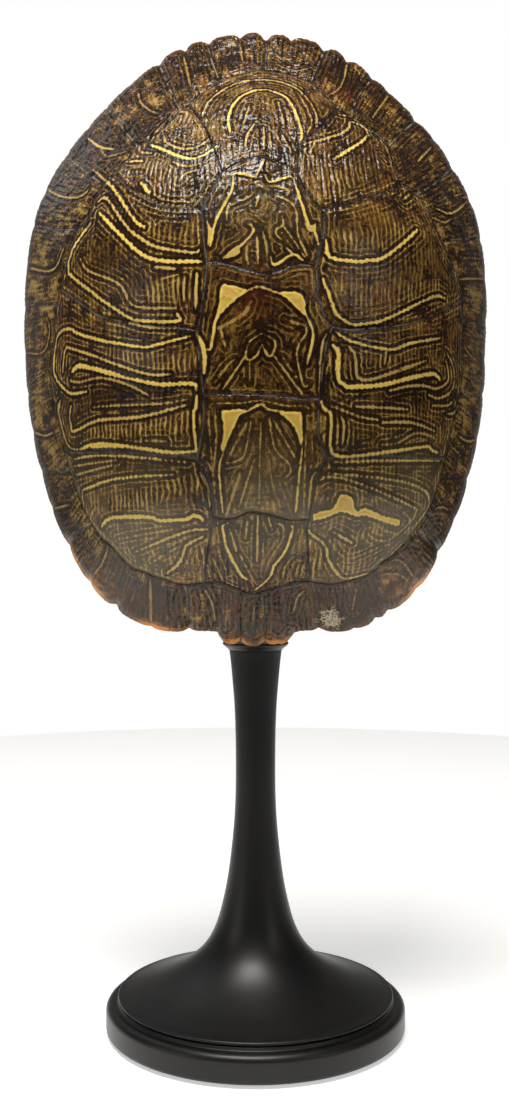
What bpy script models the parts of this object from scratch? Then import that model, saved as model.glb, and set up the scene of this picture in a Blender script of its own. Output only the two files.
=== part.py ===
"""A turtle's upper shell, mounted upright on a black turned display stand.

Metres, +Z up. The origin is the centre of the felt pad's underside. The shell's dome faces -Y, its
tail end is up and its neck end is down, just over the stand's collar.
"""

import math

import bmesh
import bpy

MM = 0.001
CLEAR = 0.3  # gap kept between pieces that touch, mm

# Turned stand: radii and heights in mm, and steps round a turned piece
TURNED_STEPS = 48
SLIM_STEPS = 40
FELT_RADIUS = 66.0
FELT_THICK = 1.0
FOOT_RADIUS = 71.0
FOOT_TOP = 15.4
FOOT_STEP = ((65.0, FOOT_TOP), (65.6, 14.4), (67.4, 13.9))  # ledge round the column's foot
FOOT_ROUNDING = 3.5
FOOT_ROUNDING_Z = 10.2
FOOT_LOW_ROUNDING = 1.5
COLUMN_FOOT = FOOT_TOP + CLEAR
COLUMN_TOP = 179.6
COLLAR_BASE = COLUMN_TOP + CLEAR
COLLAR_TOP = 183.7
ROD_RADIUS = 3.0
ROD_SOCKET_DEPTH = 22.0
# Outer side of the column and of its collar, from the top down
COLUMN_SIDE = (
    (12.5, COLUMN_TOP),
    (11.9, 174.9),
    (11.0, 165.3),
    (10.0, 152.0),
    (9.5, 135.0),
    (9.5, 115.0),
    (10.1, 100.0),
    (11.4, 86.0),
    (13.3, 71.5),
    (15.7, 59.5),
    (18.6, 49.5),
    (22.6, 41.3),
    (28.0, 34.8),
    (36.0, 28.8),
    (48.0, 22.8),
    (60.0, 18.6),
    (65.2, 17.4),
    (65.4, COLUMN_FOOT + 0.3),
    (65.0, COLUMN_FOOT),
)
COLLAR_SIDE = (
    (15.4, COLLAR_TOP),
    (15.9, COLLAR_TOP - 0.5),
    (15.1, 182.2),
    (13.7, 180.8),
    (12.8, COLLAR_BASE),
)

# Shell: the centre of its outline, in mm above the ground, and its wall
SHELL_CENTRE_Z = 328.6
WALL = 4.0
SPINE_WALL = 8.0
SPINE_HALF = 6.0  # half the width of the thick spine
SPINE_END = 0.8  # part of the radius where the spine's extra thickness has run out
SPINE_FADE = 0.15
EDGE_WALL = 3.0
GRID = 36  # cells along one side of the square that is bent into the dome

# Outline of the rim seen from the front: angle from +X in degrees (90 is the tail), radius in mm
OUTLINE = (
    (-90, 144.4),
    (-82, 142.6),
    (-72, 145.8),
    (-60, 143.6),
    (-45, 130.8),
    (-30, 120.6),
    (-15, 114.4),
    (0, 112.6),
    (15, 116.0),
    (30, 122.8),
    (45, 127.6),
    (60, 132.8),
    (75, 141.6),
    (90, 144.0),
)
# Seams between the marginal scutes of one side, as angles on the outline
MARGINAL_SEAMS = (-83, -73, -62, -49, -35, -19, -5, 11, 28, 45, 59, 74, 90)
SCALLOP = 1.2  # how far the rim draws in at a marginal seam

# Depth of the dome along a ray from its centre: part of the radius, y in mm
SIDE_DEPTH = (
    (0.0, -80.0),
    (0.2, -77.6),
    (0.4, -70.5),
    (0.6, -56.5),
    (0.75, -39.5),
    (0.85, -24.0),
    (0.93, -8.0),
    (0.97, 1.0),
    (1.0, 11.0),
)
NECK_DEPTH = (
    (0.0, -80.0),
    (0.25, -78.0),
    (0.44, -72.0),
    (0.605, -62.0),
    (0.72, -50.0),
    (0.83, -36.0),
    (0.915, -26.0),
    (1.0, -18.0),
)
TAIL_DEPTH = (
    (0.0, -80.0),
    (0.12, -79.2),
    (0.29, -75.0),
    (0.45, -67.0),
    (0.635, -48.5),
    (0.815, -26.0),
    (0.91, -15.0),
    (1.0, -6.0),
)
KEEL_RISE = 1.2
KEEL_WIDTH = 7.0

# Armature behind the shell, mm
BRACKET_Z = 320.0
BRACKET_SIZE = (16.0, 2.0, 52.0)
BRACKET_FRONT_Y = -70.8
SCREW_SPACING = 38.0
SCREW_SHANK = 1.4
SCREW_HEAD = 3.4
SCREW_BITE = 5.0  # how far a screw enters the bone
SCREW_POINT = 1.5
SCREW_CROWN = 2.2
SCREW_CROWN_DIP = 1.2  # how far the rounded head's centre lies under its rim
SCREW_STEPS = 20
HOLE_SEGMENTS = 16
PLATE_BEVEL = 0.5
PAST = 1.0  # how far a hole's cutter runs past what it cuts
BEND_RADIUS = 20.0


def smooth(points, at):
    """Value at a place along a smooth curve through (place, value) points."""
    last = len(points) - 1
    place = min(max(at, points[0][0]), points[last][0])
    i = 0
    while i < last - 1 and place > points[i + 1][0]:
        i += 1

    def slope(k):
        low, high = points[max(k - 1, 0)], points[min(k + 1, last)]
        return (high[1] - low[1]) / (high[0] - low[0])

    (x0, y0), (x1, y1) = points[i], points[i + 1]
    span = x1 - x0
    t = (place - x0) / span
    return (
        (2 * t**3 - 3 * t**2 + 1) * y0
        + (t**3 - 2 * t**2 + t) * span * slope(i)
        + (3 * t**2 - 2 * t**3) * y1
        + (t**3 - t**2) * span * slope(i + 1)
    )


def scallop(angle):
    """How far the rim draws in at an angle: most at a marginal seam, none between two."""
    for low, high in zip(MARGINAL_SEAMS, MARGINAL_SEAMS[1:]):
        if low <= angle <= high:
            return SCALLOP * abs(math.cos(math.pi * (angle - low) / (high - low))) ** 3
    return 0.0


def dome_point(part, angle):
    """Outer surface at a part of the radius from the dome's centre, along an angle in degrees."""
    turn = math.radians(angle)
    folded = math.degrees(math.asin(math.sin(turn)))
    radius = smooth(OUTLINE, folded) - scallop(folded) * part**8
    across = math.cos(turn) ** 2
    end = TAIL_DEPTH if folded > 0 else NECK_DEPTH
    y = across * smooth(SIDE_DEPTH, part) + (1 - across) * smooth(end, part)
    x = part * radius * math.cos(turn)
    z = part * radius * math.sin(turn)
    keel = KEEL_RISE * math.exp(-((x / KEEL_WIDTH) ** 2)) * (1 - part**3)
    return x, y - keel, z


def disc_of_square(a, b):
    """Part of the radius and angle in degrees, for a point of the square from -1 to 1."""
    if a == 0 and b == 0:
        return 0.0, 0.0
    if abs(a) >= abs(b):
        turn = 45 * b / a + (180 if a < 0 else 0)
    else:
        turn = 90 - 45 * a / b + (180 if b < 0 else 0)
    return max(abs(a), abs(b)), turn


def material(name, colour, roughness, metallic=0.0, coat=0.0):
    made = bpy.data.materials.new(name)
    made.use_nodes = True
    shader = made.node_tree.nodes["Principled BSDF"]
    shader.inputs["Base Color"].default_value = (*colour, 1.0)
    shader.inputs["Roughness"].default_value = roughness
    shader.inputs["Metallic"].default_value = metallic
    shader.inputs["Coat Weight"].default_value = coat
    return made


def mesh_object(name, form, where, finish=None):
    """Object made from a bmesh, which is freed."""
    mesh = bpy.data.meshes.new(name)
    form.to_mesh(mesh)
    form.free()
    made = bpy.data.objects.new(name, mesh)
    where.objects.link(made)
    if finish:
        mesh.materials.append(finish)
    return made


def turned(name, profile, where, finish, steps=TURNED_STEPS):
    """Solid of revolution from (radius, height) points in mm, listed down its outer side."""
    form = bmesh.new()
    corners = [form.verts.new((r * MM, 0, z * MM)) for r, z in profile]
    for one, two in zip(corners, corners[1:]):
        form.edges.new((one, two))
    made = mesh_object(name, form, where, finish)
    spin = made.modifiers.new("turn", "SCREW")
    spin.steps = steps
    spin.render_steps = steps
    spin.use_merge_vertices = True
    spin.merge_threshold = 0.00001
    spin.use_normal_calculate = False
    made.data.shade_smooth()
    return made


def arc(centre, radius, start, end, steps):
    """Points of an arc about a (radius, height) centre, between two angles in degrees."""
    made = []
    for k in range(steps + 1):
        turn = math.radians(start + (end - start) * k / steps)
        made.append((centre[0] + radius * math.cos(turn), centre[1] + radius * math.sin(turn)))
    return made


def stand(parts):
    black = material("satin_black_wood", (0.013, 0.012, 0.011), 0.38, coat=0.2)
    felt = material("dark_felt", (0.02, 0.02, 0.022), 0.95)

    turned(
        "felt_pad",
        [(0, FELT_THICK), (FELT_RADIUS, FELT_THICK), (FELT_RADIUS, 0), (0, 0)],
        parts,
        felt,
    )

    low = FELT_THICK + CLEAR
    foot = [(0, FOOT_TOP), *FOOT_STEP]
    foot += arc((FOOT_RADIUS - FOOT_ROUNDING, FOOT_ROUNDING_Z), FOOT_ROUNDING, 80, 0, 4)
    foot += arc((FOOT_RADIUS - FOOT_LOW_ROUNDING, low + FOOT_LOW_ROUNDING), FOOT_LOW_ROUNDING, 0, -90, 2)
    foot.append((0, low))
    turned("stand_foot", foot, parts, black)

    socket = ROD_RADIUS + CLEAR
    socket_floor = COLUMN_TOP - ROD_SOCKET_DEPTH
    column = [(0, socket_floor), (socket, socket_floor), (socket, COLUMN_TOP), *COLUMN_SIDE, (0, COLUMN_FOOT)]
    turned("stand_column", column, parts, black, steps=SLIM_STEPS)

    collar = [(socket, COLLAR_TOP), *COLLAR_SIDE, (socket, COLLAR_BASE), (socket, COLLAR_TOP)]
    turned("stand_collar", collar, parts, black, steps=SLIM_STEPS)


def wall_at(part, x):
    """Wall of the shell in mm: thicker along the spine, thinner at the rim."""
    across = max(0.0, 1 - abs(x) / SPINE_HALF)
    along = min(1.0, max(0.0, (SPINE_END - part) / SPINE_FADE))
    return WALL + (SPINE_WALL - WALL) * across * along - (WALL - EDGE_WALL) * part**10


def carapace(parts, cutters):
    """Dome bent from a square grid, thickened inwards, with two screw holes in its spine."""
    form = bmesh.new()
    bmesh.ops.create_grid(form, x_segments=GRID, y_segments=GRID, size=1.0)
    group = form.verts.layers.deform.verify()
    for vert in form.verts:
        part, angle = disc_of_square(round(vert.co.x, 6), round(vert.co.y, 6))
        x, y, z = dome_point(part, angle)
        vert.co = (x * MM, y * MM, (z + SHELL_CENTRE_Z) * MM)
        vert[group][0] = wall_at(part, x) / SPINE_WALL
    bmesh.ops.recalc_face_normals(form, faces=form.faces)
    centre = min(form.faces, key=lambda face: face.calc_center_median().y)
    if centre.normal.y > 0:
        bmesh.ops.reverse_faces(form, faces=form.faces)
    horn = material("horn_scutes", (0.09, 0.05, 0.02), 0.28, coat=0.5)
    shell = mesh_object("carapace", form, parts, horn)
    shell.vertex_groups.new(name="wall")
    thick = shell.modifiers.new("wall", "SOLIDIFY")
    thick.thickness = SPINE_WALL * MM
    thick.offset = -1
    thick.vertex_group = "wall"
    for side in (-1, 1):
        cutter = rod_cutter(f"carapace_screw_hole_{side}", side, SCREW_BITE + PAST, cutters)
        cut = shell.modifiers.new(cutter.name, "BOOLEAN")
        cut.operation = "DIFFERENCE"
        cut.solver = "EXACT"
        cut.object = cutter
    shell.data.shade_smooth()


def screw_place(side):
    """Point where a bracket screw meets the bracket's front face: side is 1 above, -1 below."""
    return (0.0, BRACKET_FRONT_Y, BRACKET_Z + side * SCREW_SPACING / 2)


def rod_cutter(name, side, reach, cutters, back=0.0):
    """Hidden cylinder along Y for a screw's hole, from `back` mm behind its place to `reach` mm before it."""
    place = screw_place(side)
    radius = SCREW_SHANK + CLEAR
    form = bmesh.new()
    bmesh.ops.create_cone(
        form,
        cap_ends=True,
        segments=HOLE_SEGMENTS,
        radius1=radius * MM,
        radius2=radius * MM,
        depth=(reach + back) * MM,
    )
    made = mesh_object(name, form, cutters)
    made.rotation_euler = (math.radians(90), 0, 0)
    made.location = (place[0] * MM, (place[1] + (back - reach) / 2) * MM, place[2] * MM)
    made.hide_render = True
    made.display_type = "WIRE"
    return made


def bracket(parts, cutters):
    """Steel plate on the spine, with a hole for each screw."""
    form = bmesh.new()
    bmesh.ops.create_cube(form, size=1.0)
    for vert in form.verts:
        vert.co = [vert.co[k] * BRACKET_SIZE[k] * MM for k in range(3)]
    steel = material("black_steel", (0.02, 0.02, 0.02), 0.45, metallic=0.6)
    plate = mesh_object("spine_bracket", form, parts, steel)
    plate.location = (0, (BRACKET_FRONT_Y + BRACKET_SIZE[1] / 2) * MM, BRACKET_Z * MM)
    rounded = plate.modifiers.new("edges", "BEVEL")
    rounded.width = PLATE_BEVEL * MM
    rounded.segments = 2
    for side in (-1, 1):
        cutter = rod_cutter(f"bracket_hole_{side}", side, PAST, cutters, back=BRACKET_SIZE[1] + PAST)
        cut = plate.modifiers.new(cutter.name, "BOOLEAN")
        cut.operation = "DIFFERENCE"
        cut.solver = "EXACT"
        cut.object = cutter


def bracket_screws(parts):
    """Round-headed screws from behind, through the bracket into the spine."""
    steel = material("screw_steel", (0.45, 0.44, 0.42), 0.3, metallic=1.0)
    under = BRACKET_SIZE[1] + CLEAR
    profile = [(0, under + SCREW_CROWN), *arc((0, under - SCREW_CROWN_DIP), SCREW_HEAD, 60, 22, 3)]
    profile += [
        (SCREW_HEAD, under),
        (SCREW_SHANK, under),
        (SCREW_SHANK, SCREW_POINT - SCREW_BITE),
        (0, -SCREW_BITE),
    ]
    for side, label in ((1, "upper"), (-1, "lower")):
        made = turned(f"bracket_screw_{label}", profile, parts, steel, steps=SCREW_STEPS)
        made.rotation_euler = (math.radians(-90), 0, 0)
        made.location = [value * MM for value in screw_place(side)]


def support_rod(parts):
    """Steel rod up from the collar, bent forward to the middle of the bracket."""
    line = bpy.data.curves.new("support_rod", "CURVE")
    line.dimensions = "3D"
    line.bevel_depth = ROD_RADIUS * MM
    line.bevel_resolution = 3
    line.use_fill_caps = True
    end_y = BRACKET_FRONT_Y + BRACKET_SIZE[1] + CLEAR
    route = [(0.0, COLUMN_TOP - ROD_SOCKET_DEPTH + CLEAR)]
    route += arc((-BEND_RADIUS, BRACKET_Z - BEND_RADIUS), BEND_RADIUS, 0, 90, 6)
    route.append((end_y, BRACKET_Z))
    path = line.splines.new("POLY")
    path.points.add(len(route) - 1)
    for point, (y, z) in zip(path.points, route):
        point.co = (0, y * MM, z * MM, 1)
    rod = bpy.data.objects.new("support_rod", line)
    rod.data.materials.append(material("rod_steel", (0.02, 0.02, 0.02), 0.4, metallic=0.7))
    parts.objects.link(rod)


def main():
    for old in list(bpy.data.objects):
        bpy.data.objects.remove(old, do_unlink=True)
    parts = bpy.data.collections.new("mounted_turtle_shell")
    cutters = bpy.data.collections.new("mounted_turtle_shell_cutters")
    for collection in (parts, cutters):
        bpy.context.scene.collection.children.link(collection)
    stand(parts)
    carapace(parts, cutters)
    bracket(parts, cutters)
    bracket_screws(parts)
    support_rod(parts)


main()
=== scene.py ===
"""A turtle's upper shell on its black turned stand: the finish and fine shape of every surface.

Lengths are in millimetres inside the classes and become metres when a mesh is made. Heights on
the shell are counted from the middle of its outline, and x runs to the right in the front view.
"""

from __future__ import annotations

import logging
import math
from dataclasses import dataclass, field
from enum import Enum
from typing import Any, Callable, Iterable, Sequence

import bmesh
import bpy
import numpy as np
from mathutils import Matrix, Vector

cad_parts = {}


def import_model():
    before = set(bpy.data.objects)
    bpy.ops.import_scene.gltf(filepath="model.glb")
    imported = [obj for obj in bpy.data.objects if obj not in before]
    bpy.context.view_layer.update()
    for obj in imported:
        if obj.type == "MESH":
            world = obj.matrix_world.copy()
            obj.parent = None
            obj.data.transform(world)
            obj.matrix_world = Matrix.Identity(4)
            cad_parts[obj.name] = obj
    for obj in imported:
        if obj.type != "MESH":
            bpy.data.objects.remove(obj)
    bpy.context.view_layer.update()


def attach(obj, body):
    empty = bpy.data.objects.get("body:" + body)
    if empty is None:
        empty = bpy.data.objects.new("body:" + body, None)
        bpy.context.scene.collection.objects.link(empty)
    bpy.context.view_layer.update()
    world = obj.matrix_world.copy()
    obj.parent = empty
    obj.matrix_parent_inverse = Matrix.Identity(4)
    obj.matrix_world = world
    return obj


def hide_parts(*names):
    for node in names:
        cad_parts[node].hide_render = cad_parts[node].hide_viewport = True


LOG = logging.getLogger("mounted_shell")
MM = 0.001
BODY = "root"
WHITE = (1.0, 1.0, 1.0, 1.0)

Array = np.ndarray
Piece = bpy.types.Object
Material = bpy.types.Material
Places = tuple[float, ...]
Pairs = tuple[tuple[float, float], ...]
Colour = tuple[float, float, float, float]
Profile = list[tuple[float, float]]


@dataclass(frozen=True)
class Stroke:
    """One pale line in the horn: its width in mm, its tone from 0 to 1 and its places."""

    width: float
    tone: float
    places: Places


@dataclass(frozen=True)
class Shape:
    """One pale shape in the horn, filled to its edge: its tone and its corners."""

    tone: float
    places: Places


class Stain(Enum):
    """Kind of local colour in the horn."""

    RED = "red"
    AMBER = "amber"
    BONE = "bone"
    DARK = "dark"
    GLOSS = "gloss"


# Places on the shell are x, z, x, z and so on, in mm from its centre, seen from the front

# Seams between the horn scutes
SEAMS: dict[str, Places] = {
    "tail_seam": (-29.5, 97.9, -24.8, 104, -16.7, 112.3, -6.3, 116.6, 4.9, 119.6, 25.2, 113.3, 36.6, 98.6),
    "l_v5": (-29.5, 97.9, -24.3, 88.4, -20.6, 79.9, -14.2, 58.8),
    "l_v4a": (-14.2, 58.8, -20.4, 47.1, -22.3, 41.1),
    "l_v4b": (-22.3, 41.1, -21.8, 30.1, -20.4, 18.4),
    "l_v3a": (-20.4, 18.4, -21.5, 7, -24.4, -9.9),
    "l_v3b": (-24.4, -9.9, -23.6, -22, -21.8, -36.2),
    "l_v2a": (-21.8, -36.2, -22, -48.8, -24.7, -62.7),
    "l_v2b": (-24.7, -62.7, -19.8, -77.7, -18.3, -86.9),
    "l_v1": (-18.3, -86.9, -22, -107.7, -22.7, -115.9),
    "r_v5": (36.6, 98.6, 28.2, 83.7, 19.8, 75.5, 18.6, 69.4, 18, 59.1),
    "r_v4a": (18, 59.1, 20, 53, 23.8, 46.3, 28, 42.4),
    "r_v4b": (28, 42.4, 28.6, 32.6, 25.3, 17.3),
    "r_v3a": (25.3, 17.3, 26, 7.2, 28.1, -1.9, 32.1, -7.5),
    "r_v3b": (32.1, -7.5, 29.4, -15.6, 26.5, -37.9),
    "r_v2a": (26.5, -37.9, 26.1, -48.7, 27.1, -56.9, 30.2, -63.1),
    "r_v2b": (30.2, -63.1, 26.4, -69.3, 24.5, -77.7, 23, -87.8),
    "r_v1": (23, -87.8, 22.2, -92.4, 23.7, -110, 23.4, -115.1),
    "v5_v4": (-14.2, 58.8, -8.7, 62.4, 0.6, 65.1, 4.4, 65.3, 13.7, 62, 18, 59.1),
    "v4_v3": (-20.4, 18.4, -14.8, 18.6, 0.6, 13.4, 3.7, 13.3, 8.5, 14, 12.5, 16.1, 16.5, 17.4, 20.5, 17.8,
        25.3, 17.3),
    "v3_v2": (-21.8, -36.2, 8.5, -37, 18.5, -38.1, 26.5, -37.9),
    "v2_v1": (-18.3, -86.9, -10.1, -87.6, -3.5, -85, 0.6, -84.9, 6.7, -85.9, 11.3, -87.4, 17.1, -88.2,
        23, -87.8),
    "v1_front": (-22.7, -115.9, -15.2, -115.6, -5.4, -119.5, 0.2, -120.1, 17.8, -115.6, 23.4, -115.1),
    "l_p4_p3": (-22.3, 41.1, -25.2, 43.1, -34.1, 43.8, -41.7, 46.4, -54.7, 56.2, -62.5, 65.5),
    "r_p4_p3": (28, 42.4, 38, 45.4, 54, 53.5, 64.8, 61.4),
    "l_p3_p2": (-24.4, -9.9, -29.7, -8.6, -40, -7.5, -54.1, -4.1, -60.5, -2.3, -69, 1.1, -86.1, 14.8,
        -88.3, 16),
    "r_p3_p2": (32.1, -7.5, 38.4, -8.7, 48.5, -7.3, 57.1, -5.7, 69.1, -2.2, 78.7, 2.9, 89, 9.2, 94.4, 13.2),
    "l_p2_p1": (-24.7, -62.7, -40.5, -60.7, -76.7, -58, -86.5, -56.3),
    "r_p2_p1": (30.2, -63.1, 52, -61.3, 86.3, -60),
    "l_m_a": (-29.5, 97.9, -33.6, 96.3, -39.6, 89.3, -48.3, 82.1, -53.1, 80, -56, 74.7, -62.5, 65.5),
    "l_m_b": (-62.5, 65.5, -67.6, 61.2, -71.1, 56.1, -74, 49.1, -79.5, 42.1, -88.3, 16),
    "l_m_c": (-88.3, 16, -90.5, 7.8, -91.6, 1.2, -92.1, -9, -94, -25.8, -86.5, -56.3),
    "l_m_d": (-86.5, -56.3, -81.9, -73.4, -78.4, -82.1, -74.8, -89.1, -70, -95.6, -66.3, -98.4, -57.6, -107.7,
        -51.7, -110.5, -34.1, -116.7, -22.7, -115.9),
    "r_m_a": (36.6, 98.6, 42.5, 93.6, 52.2, 89, 59.7, 81, 62.8, 67.2, 64.8, 61.4),
    "r_m_b": (64.8, 61.4, 72.1, 57.9, 77.4, 50.8, 83.1, 37.6, 92.3, 23, 94.4, 13.2),
    "r_m_c": (94.4, 13.2, 95.2, -2.4, 94.7, -19.9, 92.8, -31.8, 86.3, -60),
    "r_m_d": (86.3, -60, 84.4, -67.5, 81.4, -75.7, 75.5, -88.5, 62.8, -102.5, 56.9, -106.5, 52.3, -110.9,
        43, -114.6, 33.5, -116.4, 23.4, -115.1),
}
# Seams between the marginal scutes on the left, from the tail round to the neck
MARGINAL_SEAMS_LEFT: tuple[Places, ...] = (
    (5.1, 141.7, 5, 131.2, 4.9, 119.6), (-23, 139, -20.3, 126.2, -17.7, 117.2, -16.7, 112.3), (-46.3, 130.4,
    -37.4, 105.1, -33.6, 96.3), (-72.4, 113.3, -63.4, 96.5, -53.1, 80), (-93, 90.1, -78.7, 73.2,
    -67.6, 61.2), (-108.8, 56.3, -92.5, 46.6, -79.5, 41.9), (-113.7, 15.8, -98.3, 11.9, -90.3, 10.7),
    (-112.6, -25.6, -101.7, -28.2, -94.1, -28.6), (-105.6, -63.9, -91.6, -65.2, -84.2, -65.3), (-91.3, -102,
    -81.4, -93.2, -74, -89.7), (-67.8, -131.1, -63.1, -119.6, -57.8, -108.3), (-30.9, -140.1, -31.2, -129.3,
    -31.4, -121.4, -32.2, -116.9), (-6.9, -142.8, -7, -126.2, -6.7, -120),
)
# Seams between the marginal scutes on the right, from the tail round to the neck
MARGINAL_SEAMS_RIGHT: tuple[Places, ...] = (
    (33.4, 138.9, 32.7, 136.2, 25.2, 112.9), (57.3, 125.4, 48.8, 111.4, 44.3, 99.7, 43.5, 93.2), (79.6, 107,
    69.7, 95, 62.5, 85, 59.7, 81), (94.9, 83, 82.2, 67, 72.1, 57.9), (112.7, 50.2, 95.1, 42.4, 83.1, 37.6),
    (114.6, 10.4, 95.2, 3.8), (112.5, -25.8, 93.2, -31), (103, -66, 84.4, -67.5), (89.2, -104.4, 78.2, -96.5,
    71.1, -93.4), (63.4, -132.5, 58.3, -123.7, 55.3, -118.6, 52.4, -111.5), (29.4, -139.1, 28.8, -135.7,
    27.5, -123.8, 25.3, -115.9), (4.5, -143.3, 5, -130.7, 4.9, -119.9),
)
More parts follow.
